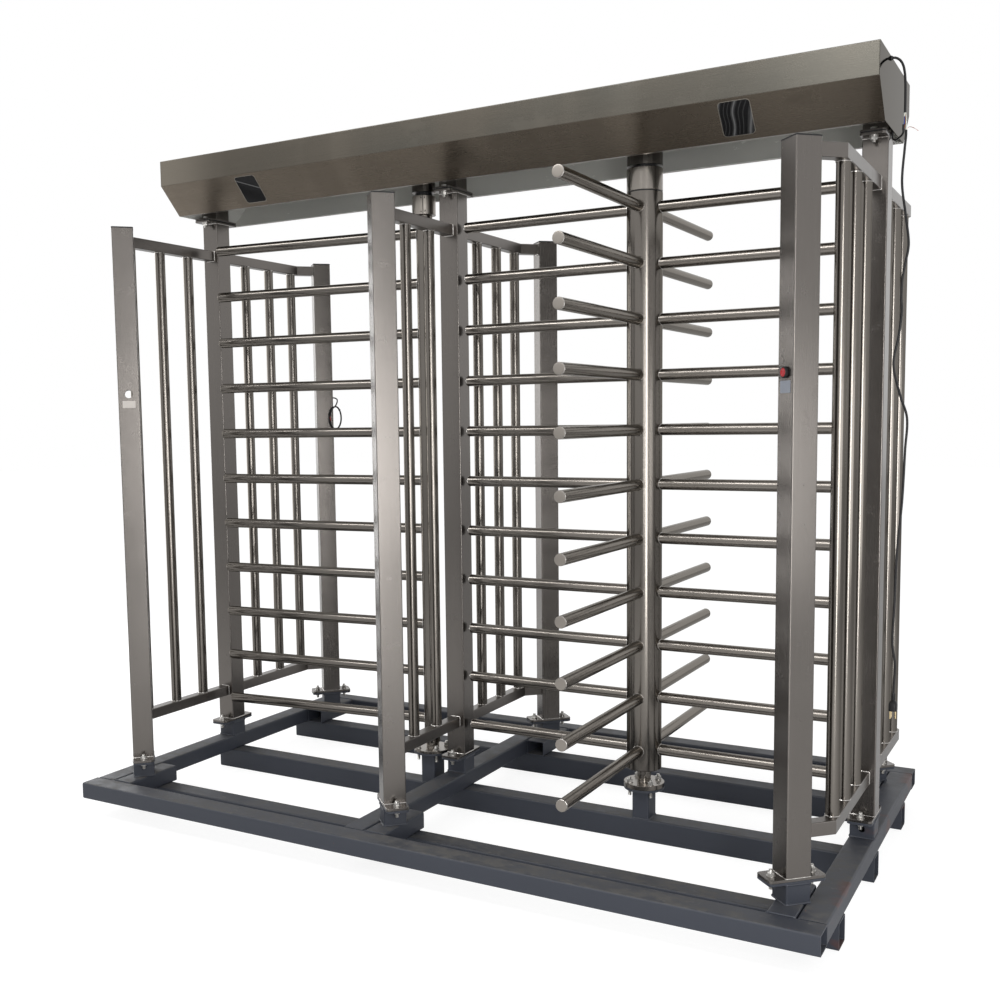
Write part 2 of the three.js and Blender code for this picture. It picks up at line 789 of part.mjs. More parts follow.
function notchedWheel(radius, notchCount, notchWidth, notchDepth, firstAngle) {
  const disc = rod(2 * radius, wheelFoot, wheelTop, 0, 0, wheelSides);
  const notches = Array.from({ length: notchCount }, (_, i) => {
    const angle = firstAngle + i * 2 * Math.PI / notchCount;
    return block(2 * notchDepth, notchWidth, wheelFoot - cutOverrun, wheelTop + cutOverrun,
      radius * Math.cos(angle), radius * Math.sin(angle), angle);
  });
  return cut(disc, ...notches);
}

const starWheel = notchedWheel(wheelRadius, wheelNotches, wheelNotchWidth, wheelNotchDepth, Math.PI / 4);
addPiece('rotor_shaft', shaft(rotorShaftDiameter, columnTop + spigotHeight + seatGap, rotorNeckDiameter,
  rotorCollarTop + seatGap, headerUnderside - housingDrop - runningGap, starWheel), darkSteel, rotor);

// Lock pawls: a boss on the pin, a bar past the wheel's rim and a tooth before its notch
function lockPawl(pawl) {
  const pinSpot = pawlPoint(pawl, pawlBarRadius, pawlReach);
  const barMiddle = pawlPoint(pawl, pawlBarRadius, (pawlReach - pawlToothWidth / 2) / 2);
  const barLength = pawlReach + pawlToothWidth / 2;
  const bar = block(pawlWidth, barLength, wheelFoot, wheelTop, barMiddle.x, barMiddle.y, pawl.angle);
  const toothFoot = wheelRadius + pawlToothGap;
  const toothMiddle = pawlPoint(pawl, (toothFoot + pawlBarRadius) / 2, 0);
  const tooth = block(pawlBarRadius - toothFoot, pawlToothWidth, wheelFoot, wheelTop,
    toothMiddle.x, toothMiddle.y, pawl.angle);
  const boss = rod(pawlBoss, wheelFoot, wheelTop, pinSpot.x, pinSpot.y);
  const bore = rod(runningBore(pawlPin), wheelFoot - cutOverrun, wheelTop + cutOverrun,
    pinSpot.x, pinSpot.y);
  return cut(join(bar, tooth, boss), bore);
}

for (const pawl of pawls) {
  addPiece(`rotor_lock_pawl_${pawl.name}`, lockPawl(pawl), zincSteel, rotor);
}

// Gate: a leaf of eleven bars on a pivot column, a little ajar towards the front
const gate = new THREE.Group();
gate.position.x = gateX;
turnstile.add(gate);
const gateLeafGroup = new THREE.Group();
gateLeafGroup.rotation.z = THREE.MathUtils.degToRad(gateAjarDegrees);
gate.add(gateLeafGroup);
const gateColumnFoot = firstTierHeight - gateColumnFootDrop;
const gateColumnTop = topTierHeight + gateColumnHeadRise;

function gateLeaf() {
  const outer = rod(gateColumnDiameter, gateColumnFoot, gateColumnTop, 0, 0, columnSides);
  const hollow = rod(gateColumnDiameter - 2 * gateColumnWall, gateColumnFoot + columnPlate,
    gateColumnTop - columnPlate);
  const pinWay = rod(runningBore(gatePinDiameter), gateColumnFoot - cutOverrun,
    gateColumnFoot + columnPlate + cutOverrun);
  const spigot = rod(gateShaftDiameter, gateColumnTop - columnPlate / 2, gateColumnTop + spigotHeight);
  const bars = tierHeights.map((z) => barAlongX(barDiameter, -gateLength, 0, z));
  const bores = tierHeights.map((z) =>
    barAlongX(barDiameter - 2 * barWall, barWall - gateLength, 0, z, boreSides));
  return cut(join(outer, ...bars, spigot), hollow, pinWay, ...bores);
}

const gateCollarFoot = gateColumnTop + seatGap;
const gateCollarTop = gateCollarFoot + gateCollarHeight;
const gateHousingFoot = headerUnderside + gateHousingLift;
addPiece('gate_leaf', gateLeaf(), satinTube, gateLeafGroup);
addPiece('gate_clamp_collar', clampCollar(gateCollarDiameter, gateShaftDiameter, gateCollarFoot,
  gateCollarTop, gateCollarSlitDegrees), brushedSteel, gateLeafGroup);
addPiece('gate_foot_bearing', footBearing(gateFlangeDiameter, gateFlangeThickness, gatePedestalHeight,
  gateShoulderDiameter, gatePinDiameter, gateColumnFoot), brushedSteel, gate);
addPiece('gate_bearing_housing', bearingHousing({ diameter: gateCollarDiameter, foot: gateHousingFoot },
  gateHeadPlateLength, gateHeadPlateDepth, gateStandoffX, gateStandoffY, gateShaftDiameter), darkSteel, gate);
const limitCam = notchedWheel(camRadius, 1, camNotchWidth, camNotchDepth, Math.PI);
addPiece('gate_shaft', shaft(gateShaftDiameter, gateColumnTop + spigotHeight + seatGap, gateNeckDiameter,
  gateCollarTop + seatGap, gateHousingFoot - runningGap, limitCam), darkSteel, gateLeafGroup);

// Header frame: a beam along the header with a stub and a bolted plate over each mid post
function hangerStub(x) {
  const stub = squarePost(headerUnderside - plateThickness / 2, beamFoot + beamWall / 2, x);
  const hangerPlate = plate(hangerPlateFoot, x);
  const bolts = boltSpots(x, 0, 0).map((spot) => hangerBolt(spot.x, spot.y));
  return join(stub, hangerPlate, ...bolts);
}

function hangerBolt(x, y) {
  const nutTop = topPlateFoot - seatGap;
  const shank = rod(boltDiameter, nutTop - nutHeight - boltProtrusion, headerUnderside + nutHeight, x, y,
    boltSides);
  const nut = rod(nutAcrossCorners, nutTop - nutHeight, nutTop, x, y, boltSides);
  const head = rod(nutAcrossCorners, headerUnderside - plateThickness / 2, headerUnderside + nutHeight, x, y,
    boltSides);
  return join(shank, nut, head);
}

function headerFrame() {
  const length = headerLength - 2 * (casingSheet + beamEndGap);
  const beam = tubeAlongX(length, beamWidth, beamFoot, beamHeight, beamWall, 0, 0);
  return join(beam, ...lines.map((line) => hangerStub(line.x)));
}

addPiece('header_frame', headerFrame(), brushedSteel);

// Header casing: one folded sheet, open below, with a plate welded in each end
function casingOutline(inset) {
  const top = headerTop - inset;
  const half = headerWidth / 2 - inset;
  const slopeTurn = Math.atan2((headerWidth - headerFootWidth) / 2, slopeRise);
  const bend = headerBend - inset * Math.tan(slopeTurn / 2);
  const foot = headerUnderside;
  const footHalf = headerFootWidth / 2 - inset / Math.cos(slopeTurn);
  return [[-footHalf, foot], [-half, bend], [-half, top], [half, top], [half, bend], [footHalf, foot]];
}

// A prism along X from an outline of y and z values
function prismAlongX(outline, length) {
  const shape = new THREE.Shape(outline.map(([y, z]) => new THREE.Vector2(y, z)));
  const geometry = new THREE.ExtrudeGeometry(shape, { depth: length, bevelEnabled: false });
  geometry.translate(0, 0, -length / 2);
  geometry.rotateX(Math.PI / 2);
  geometry.rotateZ(Math.PI / 2);
  return solid(geometry);
}

// The frame of a window: its local X runs along the header, Y up the slope and Z out of it
function windowMatrix(x) {
  const halfStep = (headerWidth - headerFootWidth) / 2;
  const upSlope = new THREE.Vector3(0, -halfStep, slopeRise).normalize();
  const along = new THREE.Vector3(1, 0, 0);
  const outwards = along.clone().cross(upSlope);
  const y = -headerFootWidth / 2 - halfStep * windowSlopeShare;
  const z = headerUnderside + slopeRise * windowSlopeShare;
  return new THREE.Matrix4().makeBasis(along, upSlope, outwards).setPosition(x, y, z);
}

function roundedSlab(width, height, radius, from, to) {
  const shape = new THREE.Shape();
  const right = width / 2;
  const top = height / 2;
  shape.moveTo(radius - right, -top);
  shape.lineTo(right - radius, -top);
  shape.absarc(right - radius, radius - top, radius, -Math.PI / 2, 0);
  shape.lineTo(right, top - radius);
  shape.absarc(right - radius, top - radius, radius, 0, Math.PI / 2);
  shape.lineTo(radius - right, top);
  shape.absarc(radius - right, top - radius, radius, Math.PI / 2, Math.PI);
  shape.lineTo(-right, radius - top);
  shape.absarc(radius - right, radius - top, radius, Math.PI, 3 * Math.PI / 2);
  const geometry = new THREE.ExtrudeGeometry(shape,
    { depth: to - from, bevelEnabled: false, curveSegments: windowCornerSteps });
  geometry.translate(0, 0, from);
  return geometry;
}

function windowCutter(x) {
  const geometry = roundedSlab(windowWidth + 2 * seatGap, windowHeight + 2 * seatGap,
    windowRadius + seatGap, -cutOverrun, cutOverrun);
  geometry.applyMatrix4(windowMatrix(x));
  return solid(geometry);
}

const windows = [
  { name: 'left', x: windowInset - headerEnd },
  { name: 'right', x: headerEnd - windowInset },
];

function headerCasing() {
  const outer = prismAlongX(casingOutline(0), headerLength);
  const innerLength = headerLength - 2 * casingSheet;
  const inner = prismAlongX(casingOutline(casingSheet), innerLength);
  const mouth = block(innerLength, headerFootWidth - 2 * casingLip, headerUnderside - cutOverrun,
    headerUnderside + cutOverrun);
  const lipTop = headerUnderside + casingSheet;
  const hollow = inner.intersect(block(innerLength, headerWidth, lipTop, headerTop));
  const glandHole = barAlongX(glandThread + 2 * seatGap, headerEnd - cutOverrun,
    headerEnd + cutOverrun, headerTop - glandDrop).translate([0, -cordFront, 0]);
  return cut(outer, hollow, mouth, glandHole, ...windows.map((spot) => windowCutter(spot.x)));
}

addPiece('header_casing', headerCasing(), brushedSteel);
for (const spot of windows) {
  const body = solid(roundedSlab(windowWidth, windowHeight, windowRadius,
    windowProud - windowThickness, windowProud));
  addPiece(`indicator_window_${spot.name}`, body, blackGloss).applyMatrix4(windowMatrix(spot.x));
}

// Control box, open below where its cover has cable slots
const controlBoxX = (leftX + centreX) / 2 - controlBoxShift;

function controlBox() {
  const foot = hangingTop - controlBoxHeight;
  const shell = block(controlBoxLength, controlBoxDepth, foot, hangingTop, controlBoxX);
  const inside = block(controlBoxLength - 2 * controlBoxWall, controlBoxDepth - 2 * controlBoxWall,
    foot - cutOverrun, hangingTop - controlBoxWall, controlBoxX);
  return cut(shell, inside);
}

addPiece('control_box', controlBox(), greyPaint);

// Push button in its bezel on the right front end post. In this frame +Y points into the post.
const buttonGroup = new THREE.Group();
const buttonLine = lines[lines.length - 1];
buttonGroup.position.set(buttonLine.x + buttonLine.wing * seatOffset, -endPostY, buttonHeight);
buttonGroup.rotation.z = wingTurn(buttonLine, sides[0]);
turnstile.add(buttonGroup);
const postFace = -postWidth / 2;
const bezelFoot = postFace - seatGap;
const bezelFace = bezelFoot - bezelHeight;

function buttonBezel() {
  const threadDiameter = buttonHole - 2 * seatGap;
  const ring = barAlongY(bezelDiameter, bezelFace, bezelFoot, 0);
  const well = barAlongY(bezelDiameter - 2 * bezelWall, bezelFace - cutOverrun,
    bezelFoot - bezelWall, 0);
  const thread = barAlongY(threadDiameter, bezelFoot - bezelWall / 2, bezelFoot + buttonThreadLength, 0);
  return join(cut(ring, well), thread);
}

function pushButton() {
  const capDiameter = bezelDiameter - 2 * bezelWall - 2 * runningGap;
  const capFace = bezelFace - buttonProud;
  const cap = barAlongY(capDiameter, capFace, capFace + buttonCapThickness, 0);
  const stemDiameter = buttonStemDiameter - 2 * bezelWall - 2 * runningGap;
  return join(cap, barAlongY(stemDiameter, capFace + buttonCapThickness / 2, capFace + buttonStemLength, 0));
}

function stemWay() {
  const diameter = buttonStemDiameter - 2 * bezelWall;
  const end = bezelFace - buttonProud + buttonStemLength + buttonTravel + runningGap;
  return barAlongY(diameter, bezelFace - cutOverrun, end, 0);
}

addPiece('button_bezel', cut(buttonBezel(), stemWay()), blackPlastic, buttonGroup);
addPiece('push_button', pushButton(), redPlastic, buttonGroup);

// Mains lead: from a gland in the header's end face over a bend to a splice, and from there on
// down to its plug. A thin lead runs from the splice into the header.
function hangingPoint({ out, drop, front = cordFront }) {
  return new THREE.Vector3(headerEnd + out, -front, headerTop - drop);
}

// A round cord through given points
function cordThrough(points, diameter, roundSides, steps) {
  const section = new THREE.Shape(Array.from({ length: roundSides }, (_, i) => {
    const angle = i * 2 * Math.PI / roundSides;
    return new THREE.Vector2(diameter / 2 * Math.cos(angle), diameter / 2 * Math.sin(angle));
  }));
  const extrudePath = new THREE.CatmullRomCurve3(points);
  return solid(new THREE.ExtrudeGeometry(section, { steps, extrudePath, bevelEnabled: false }));
}

function cableGland() {
  const z = headerTop - glandDrop;
  const face = headerEnd + seatGap;
  const nut = barAlongX(glandDiameter, face, face + glandLength, z, boltSides);
  const thread = barAlongX(glandThread, headerEnd - glandThreadLength, face + glandLength / 2, z);
  const way = barAlongX(cordDiameter + 2 * cordWay, headerEnd - glandThreadLength - cutOverrun,
    face + glandLength + cutOverrun, z);
  return cut(join(nut, thread), way).translate([0, -cordFront, 0]);
}

const spliceTopDrop = spliceFoot - spliceLength;
const upperCordPoints = [{ out: -cordTail, drop: glandDrop }, ...upperCordRun,
  { out: spliceOut, drop: spliceTopDrop - seatGap }].map(hangingPoint);
const spliceLeadPoints = [{ out: spliceLeadRun[0].out, drop: spliceFoot + cordWay }, ...spliceLeadRun]
  .map(hangingPoint);
const lowerCordPoints = [{ out: lowerCordRun[0].out, drop: spliceFoot + seatGap }, ...lowerCordRun,
  { out: plugOut, drop: plugTopDrop - seatGap }].map(hangingPoint);

function mainsPlug() {
  const top = headerTop - plugTopDrop;
  const x = headerEnd + plugOut;
  const bodyTop = top - plugNeckLength;
  const foot = top - plugLength;
  const neck = rod(plugNeckDiameter, bodyTop - tubeWall, top, x, -cordFront);
  const body = block(plugDepth, plugWidth, foot, bodyTop, x, -cordFront);
  const pinSpots = [
    { x: plugEarthOffset, y: 0 },
    { x: -plugEarthOffset, y: -plugPinPitch / 2 },
    { x: -plugEarthOffset, y: plugPinPitch / 2 },
  ];
  const pins = pinSpots.map((spot) => rod(plugPinDiameter, foot - plugPinLength, foot + plugPinDiameter,
    x + spot.x, spot.y - cordFront, leadSides));
  return join(neck, body, ...pins);
}

addPiece('cable_gland', cableGland(), blackPlastic);
addPiece('cord_upper', cordThrough(upperCordPoints, cordDiameter, cordSides, upperCordSteps), blackRubber);
addPiece('cord_splice', rod(spliceDiameter, headerTop - spliceFoot, headerTop - spliceTopDrop,
  headerEnd + spliceOut, -cordFront), blackRubber);
addPiece('splice_lead', cordThrough(spliceLeadPoints, spliceLeadDiameter, leadSides, spliceLeadSteps),
  blackRubber);
addPiece('cord_lower', cordThrough(lowerCordPoints, cordDiameter, cordSides, lowerCordSteps), blackRubber);
addPiece('mains_plug', mainsPlug(), blackRubber);

// Spare lead: out of its hole, round the corner of the post and into the loop from its top
function leadPoint({ across, out, drop }) {
  return new THREE.Vector3(across, postWidth / 2 + out, buttonHeight - drop);
}

function loopPoint(step) {
  const turns = step / stepsPerLoop;
  const angle = 2 * Math.PI * turns;
  const halfWidth = loopHalfWidth - loopNarrowing * turns;
  return leadPoint({
    across: postWidth / 2 + loopSideGap + loopPitch * turns,
    out: loopFlankReach - halfWidth * (1 + Math.sin(angle)),
    drop: loopDrop - loopHalfHeight * Math.cos(angle),
  });
}

const loopSteps = loopTurns * stepsPerLoop;
const loopPoints = Array.from({ length: loopSteps + 1 }, (_, i) => loopPoint(i));
const sparePoints = [{ across: 0, out: -leadTail, drop: 0 }, ...leadInRun].map(leadPoint)
  .concat(loopPoints, leadEndRun.map(leadPoint));

// The least gap between turns, over points that lie at least a quarter of a loop apart
function leastSelfGap(points, diameter) {
  const apart = stepsPerLoop / 4;
  let least = Infinity;
  points.forEach((point, i) => {
    for (const other of points.slice(i + apart)) {
      least = Math.min(least, point.distanceTo(other) - diameter);
    }
  });
  return least;
}

const leadPath = new THREE.CatmullRomCurve3(sparePoints);
const leadSteps = loopSteps + leadEndSteps;
console.log(`spare lead self gap ${leastSelfGap(leadPath.getSpacedPoints(leadSteps), leadDiameter).toFixed(2)}`);
const spareLead = addPiece('spare_lead', cordThrough(sparePoints, leadDiameter, leadSides, leadSteps),
  blackRubber);
spareLead.position.set(leftX + lines[0].wing * seatOffset, endPostY, 0);
spareLead.rotation.z = wingTurn(lines[0], sides[1]);

export default turnstile;
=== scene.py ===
"""Dresses the frame of a full height turnstile with a swing gate lane beside it.

All lengths are in metres, in the frame of the part: +Z up, X along the header, people walk along Y
and the front faces -Y.
"""

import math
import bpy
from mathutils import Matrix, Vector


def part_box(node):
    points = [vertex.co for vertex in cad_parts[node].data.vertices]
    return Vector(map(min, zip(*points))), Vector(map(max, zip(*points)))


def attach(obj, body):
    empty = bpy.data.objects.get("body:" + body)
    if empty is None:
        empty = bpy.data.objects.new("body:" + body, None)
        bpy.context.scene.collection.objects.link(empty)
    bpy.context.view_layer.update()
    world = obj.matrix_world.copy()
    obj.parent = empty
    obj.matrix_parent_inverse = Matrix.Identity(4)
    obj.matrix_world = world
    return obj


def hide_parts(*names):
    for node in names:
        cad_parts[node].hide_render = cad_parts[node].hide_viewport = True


bl_info = {
    "name": "Full height turnstile",
    "version": (1, 0, 0),
    "blender": (4, 5, 0),
    "location": "3D View > Sidebar > Turnstile",
    "description": "Makes the detailed pieces and finishes of a full height turnstile",
    "category": "Object",
}

import bmesh
import bpy
from bpy.props import FloatProperty, FloatVectorProperty, IntProperty, PointerProperty
from mathutils import Matrix, Vector

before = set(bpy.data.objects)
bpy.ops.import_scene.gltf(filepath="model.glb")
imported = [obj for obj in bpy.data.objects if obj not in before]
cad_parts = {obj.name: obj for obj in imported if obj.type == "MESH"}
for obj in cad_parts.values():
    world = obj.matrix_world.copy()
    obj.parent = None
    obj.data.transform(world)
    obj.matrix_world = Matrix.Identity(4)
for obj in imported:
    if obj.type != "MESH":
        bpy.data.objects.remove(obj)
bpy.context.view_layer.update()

# The lines of posts along the header, the way each line's end posts stand off it, and the sides
LINES = ("left", "centre", "right")
WINGS = {"left": 1, "centre": 1, "right": -1}
SIDES = {"front": -1, "rear": 1}
# The line whose stub has a hole for wires
WIRE_WAY_LINE = "right"
TIER_NODES = [f"rotor_arm_tier_{i:02d}" for i in range(1, 12)]

# Gap between faces that are set against each other
SEAT_GAP = 0.0003
# How deep a tube goes into what it is welded to
SINK = 0.001
UP = Vector((0, 0, 1))
QUARTER = math.pi / 2
SMOOTH_ANGLE = math.radians(34)


def box_of(node):
    low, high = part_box(node)
    return Vector(low), Vector(high)


def middle_of(node):
    low, high = box_of(node)
    return (low + high) / 2


# Sizes and colours


def length(name, default, description):
    return FloatProperty(name=name, default=default, description=description, unit="LENGTH",
                         precision=5)


def colour(name, default, description):
    return FloatVectorProperty(name=name, default=default, description=description,
                               subtype="COLOR", size=3, min=0, max=1)


class TurnstileSizes(bpy.types.PropertyGroup):
    """Sizes that the dressed pieces share."""

    post_width: length("Post width", 0.076, "Side of the square posts and stubs")
    post_wall: length("Post wall", 0.003, "Wall of the square posts")
    post_corner: length("Post corner", 0.0035, "Outer corner radius of the square posts")
    plate_length: length("Plate length", 0.176, "Long side of the foot and hanger plates")
    plate_thickness: length("Plate thickness", 0.008, "Thickness of the foot and hanger plates")
    plate_corner: length("Plate corner", 0.011, "Corner radius of the plates")
    base_width: length("Base tube width", 0.08, "Width of the base tubes")
    sill_height: length("Sill height", 0.06, "Height of the sills and cross beams")
    base_wall: length("Base tube wall", 0.004, "Wall of the base tubes")
    base_corner: length("Base tube corner", 0.007, "Outer corner radius of the base tubes")
    stub_height: length("Stub height", 0.057, "Height of the stubs under the plates")
    seat_reach: length("Seat tube reach", 0.471, "Distance of the seat tubes' inner ends")
    rail_size: length("Rail size", 0.04, "Side of the guards' square rails")
    rail_corner: length("Rail corner", 0.0028, "Outer corner radius of the rails")
    bar_diameter: length("Bar diameter", 0.038, "Diameter of arms and guard bars")
    guard_bend: length("Guard bend", 0.518, "Distance of the guards' bend from the post line")
    guard_bar_first: length("First guard bar", 0.175, "Distance of the first guard bar")
    guard_bar_pitch: length("Guard bar pitch", 0.155, "Distance between guard bars")
    bolt_diameter: length("Bolt diameter", 0.012, "Shank of the plates' bolts")
    bolt_reach: length("Bolt reach", 0.063, "Distance of a plate's bolts from its middle")
    cap_height: length("Cap height", 0.003, "How far the end caps of the posts stand up")
    cap_skirt: length("Cap skirt", 0.0016, "How far the end caps reach down round the posts")
    cap_overhang: length("Cap overhang", 0.0012, "How much wider the end caps are than the posts")
    joint_ring: length("Joint ring", 0.0032, "Height of the dark ring under the rotor's collar")
    gasket: length("Gasket", 0.003, "Thickness of the dark gaskets between the hanger plates")
    weld_radius: length("Weld radius", 0.0019, "Radius of a weld bead in steel")
    paint_weld_radius: length("Painted weld radius", 0.0032, "Radius of a weld bead in the base")
    weld_step: length("Weld step", 0.0035, "Distance between the sections of a weld bead")
    weld_ripple: length("Weld ripple", 0.0016, "How far the skin of a weld bead rises and falls")
    cord_diameter: length("Cord diameter", 0.007, "Diameter of the mains lead")
    lead_diameter: length("Lead diameter", 0.006, "Diameter of the spare lead")
    guard_bars: IntProperty(name="Guard bars", default=3, description="Bars of one guard")
    bar_sides: IntProperty(name="Bar sides", default=40, description="Facets round a bar")


class TurnstileColours(bpy.types.PropertyGroup):
    """Base colours of the finishes."""

    post: colour("Posts", (0.150, 0.138, 0.128), "Brushed steel of the posts")
    tube: colour("Tubes", (0.155, 0.142, 0.128), "Satin steel of arms, gate and guards")
    casing: colour("Header", (0.146, 0.138, 0.119), "Brushed steel of the header")
    dark: colour("Dark steel", (0.035, 0.035, 0.037), "Oiled steel of shafts and housings")
    slate: colour("Base paint", (0.032, 0.036, 0.047), "Paint of the base frame")
    dust: colour("Dust", (0.098, 0.094, 0.088), "Dust on the base frame")
    rust: colour("Rust", (0.19, 0.062, 0.035), "Rust spots on the base frame")
    zinc: colour("Zinc", (0.5, 0.49, 0.47), "Bolts, nuts and washers")
    red: colour("Button", (0.30, 0.004, 0.009), "Cap of the push button")
    label: colour("Left label", (0.46, 0.43, 0.40), "Bare plate on the left front post")
    label_right: colour("Right label", (0.19, 0.205, 0.235), "Bare plate on the right front post")
    box_grey: colour("Control box", (0.42, 0.43, 0.42), "Paint of the control box")
    sheath: colour("Cords", (0.009, 0.009, 0.01), "Sheath of the cords")
    # The weld colour is painted far lighter than the steel, as a painted highlight on the beads and
    # on the arms' tip welds.
    weld: colour("Steel welds", (0.46, 0.44, 0.42), "Bright weld beads and turned faces")
    inside: colour("Header inside", (0.70, 0.70, 0.67), "Unbrushed inside of the header's sheet")


def sizes():
    return bpy.context.scene.turnstile_sizes


def colours():
    return bpy.context.scene.turnstile_colours


# Shader expressions


class Value:
    """A number on a socket of a tree. Arithmetic on it adds Math nodes."""

    def __init__(self, owner, socket):
        self.owner = owner
        self.socket = socket

    def __add__(self, other):
        return self.owner.math("ADD", self, other)

    def __radd__(self, other):
        return self.owner.math("ADD", other, self)

    def __sub__(self, other):
        return self.owner.math("SUBTRACT", self, other)

    def __rsub__(self, other):
        return self.owner.math("SUBTRACT", other, self)

    def __mul__(self, other):
        return self.owner.math("MULTIPLY", self, other)

    def __rmul__(self, other):
        return self.owner.math("MULTIPLY", other, self)

    def between(self, low, high):
        """0 below low, 1 above high and a smooth rise between them."""
        node = self.owner.node("ShaderNodeMapRange", {"interpolation_type": "SMOOTHSTEP"},
                               {"Value": self, "From Min": low, "From Max": high})
        return Value(self.owner, node.outputs["Result"])

    def swing(self, amount):
        """From minus to plus half the amount, for a number between 0 and 1."""
        return (self - 0.5) * amount


class Tree:
    """A node tree under construction."""

    def __init__(self, tree):
        self.tree = tree

    def node(self, kind, settings=None, values=None):
        """A node of a kind, with its settings set first and then its sockets' values or links."""
        node = self.tree.nodes.new(kind)
        for key, setting in (settings or {}).items():
            setattr(node, key, setting)
        for key, value in (values or {}).items():
            self.feed(node.inputs[key], value)
        return node

    def feed(self, socket, value):
        if isinstance(value, Value):
            value = value.socket
        if isinstance(value, bpy.types.NodeSocket):
            self.tree.links.new(value, socket)
        elif socket.type == "RGBA" and len(value) == 3:
            socket.default_value = (*value, 1)
        else:
            socket.default_value = value

    def math(self, operation, *operands):
        node = self.node("ShaderNodeMath", {"operation": operation}, dict(enumerate(operands)))
        return Value(self, node.outputs[0])


class Finish(Tree):
    """A material under construction."""

    def __init__(self, name):
        self.material = bpy.data.materials.new(name)
        self.material.use_nodes = True
        super().__init__(self.material.node_tree)
        self.tree.nodes.clear()
        self.place = self.node("ShaderNodeTexCoord").outputs["Object"]

    def noise(self, scale, detail, roughness, stretch=(1, 1, 1)):
        """Noise by the place on the piece, which is stretched by three factors first."""
        place = self.node("ShaderNodeMapping", None, {"Vector": self.place, "Scale": stretch})
        node = self.node("ShaderNodeTexNoise", None, {
            "Vector": place.outputs[0], "Scale": scale, "Detail": detail, "Roughness": roughness})
        return Value(self, node.outputs[0])

    def along(self, vector, axis):
        """One part of a vector."""
        node = self.node("ShaderNodeSeparateXYZ", None, {0: vector})
        return Value(self, node.outputs[axis])

    def part_of_place(self, axis):
        return self.along(self.place, axis)

    def facing(self, axis):
        return self.along(self.node("ShaderNodeNewGeometry").outputs["Normal"], axis)

    def mix(self, factor, under, over):
        node = self.node("ShaderNodeMix", {"data_type": "RGBA"}, {0: factor, 6: under, 7: over})
        return node.outputs[2]

    def tinted(self, base, factor):
        """A colour made lighter or darker by a value round 1."""
        node = self.node("ShaderNodeVectorMath", {"operation": "SCALE"}, {
            0: base, "Scale": factor})
        return node.outputs[0]

    def surface(self, base, roughness, metallic, height, strength, depth, specular=0.5,
                edge=(1, 1, 1)):
        """Ends the material: its shader, with small bumps from a height."""
        shader = self.node("ShaderNodeBsdfPrincipled", None, {
            "Base Color": base, "Roughness": roughness, "Metallic": metallic,
            "Specular IOR Level": specular, "Specular Tint": edge})
        bump = self.node("ShaderNodeBump", None, {
            "Height": height, "Strength": strength, "Distance": depth})
        self.feed(shader.inputs["Normal"], bump.outputs[0])
        self.node("ShaderNodeOutputMaterial", None, {"Surface": shader.outputs[0]})
        return self.material


def lit(base, share):
    """A colour made lighter or darker."""
    return tuple(part * share for part in base)


def drawn_out(axis, along=0.012):
    """Factors that draw a pattern out along one axis."""
    return tuple(along if i == axis else 1.0 for i in range(3))


def brushed_steel(name, base, axis, roughness):
    """Stainless brushed along one axis, with fine streaks and soft handling marks."""
    finish = Finish(name)
    fine = finish.noise(900, 4, 0.7, drawn_out(axis))
    coarse = finish.noise(120, 3, 0.6, drawn_out(axis, 0.02))
    marks = finish.noise(2.6, 4, 0.6)
    spots = finish.noise(17, 5, 0.65).between(0.56, 0.78)
    shade = 1 + fine.swing(0.1) + coarse.swing(0.1) + marks.swing(0.16) - spots * 0.05
    rough = roughness + fine.swing(0.12) + marks.swing(0.1) + spots * 0.05
    return finish.surface(finish.tinted(base, shade), rough, 1.0, fine + coarse * 0.5, 0.09,
                          0.00025)


def satin_wear(finish):
    """Grain of ground tube, its shade round 1 and its change of roughness."""
    fine = finish.noise(620, 3, 0.65)
    marks = finish.noise(3.2, 4, 0.6)
    scuffs = finish.noise(26, 5, 0.7).between(0.6, 0.8)
    shade = 1 + fine.swing(0.08) + marks.swing(0.16) - scuffs * 0.06
    return fine, shade, fine.swing(0.05) + marks.swing(0.07) + scuffs * 0.05


def satin_steel(name, base, roughness=0.18):
    """Drawn tube, ground to a satin finish."""
    finish = Finish(name)
    fine, shade, wear = satin_wear(finish)
    return finish.surface(finish.tinted(base, shade), roughness + wear, 1.0, fine, 0.02, 0.0001,
                          edge=(0.5, 0.49, 0.47))


def inside_share(finish):
    """1 on the faces that look into the header, 0 outside."""
    walls = 1 - (finish.facing(1) * finish.part_of_place(1)).between(-0.03, -0.01)
    ends = 1 - (finish.facing(0) * finish.part_of_place(0)).between(-0.8, -0.5)
    roof = (0 - finish.facing(2)).between(0.8, 0.95) * finish.part_of_place(2).between(2.44, 2.46)
    return finish.math("MAXIMUM", finish.math("MAXIMUM", walls, ends), roof)


def end_plate_steel(name, base, inner):
    """End plate of the header, bright enough to mirror the lead."""
    finish = Finish(name)
    fine = finish.noise(700, 3, 0.6)
    marks = finish.noise(6, 4, 0.6)
    inside = inside_share(finish)
    shade = 1 + fine.swing(0.08) + marks.swing(0.16)
    tint = finish.mix(inside, finish.tinted(base, shade), inner)
    return finish.surface(tint, 0.04 + inside * 0.2 + marks.swing(0.02), 1 - inside * 0.8, fine,
                          0.03, 0.0001, edge=(0.42, 0.41, 0.40))


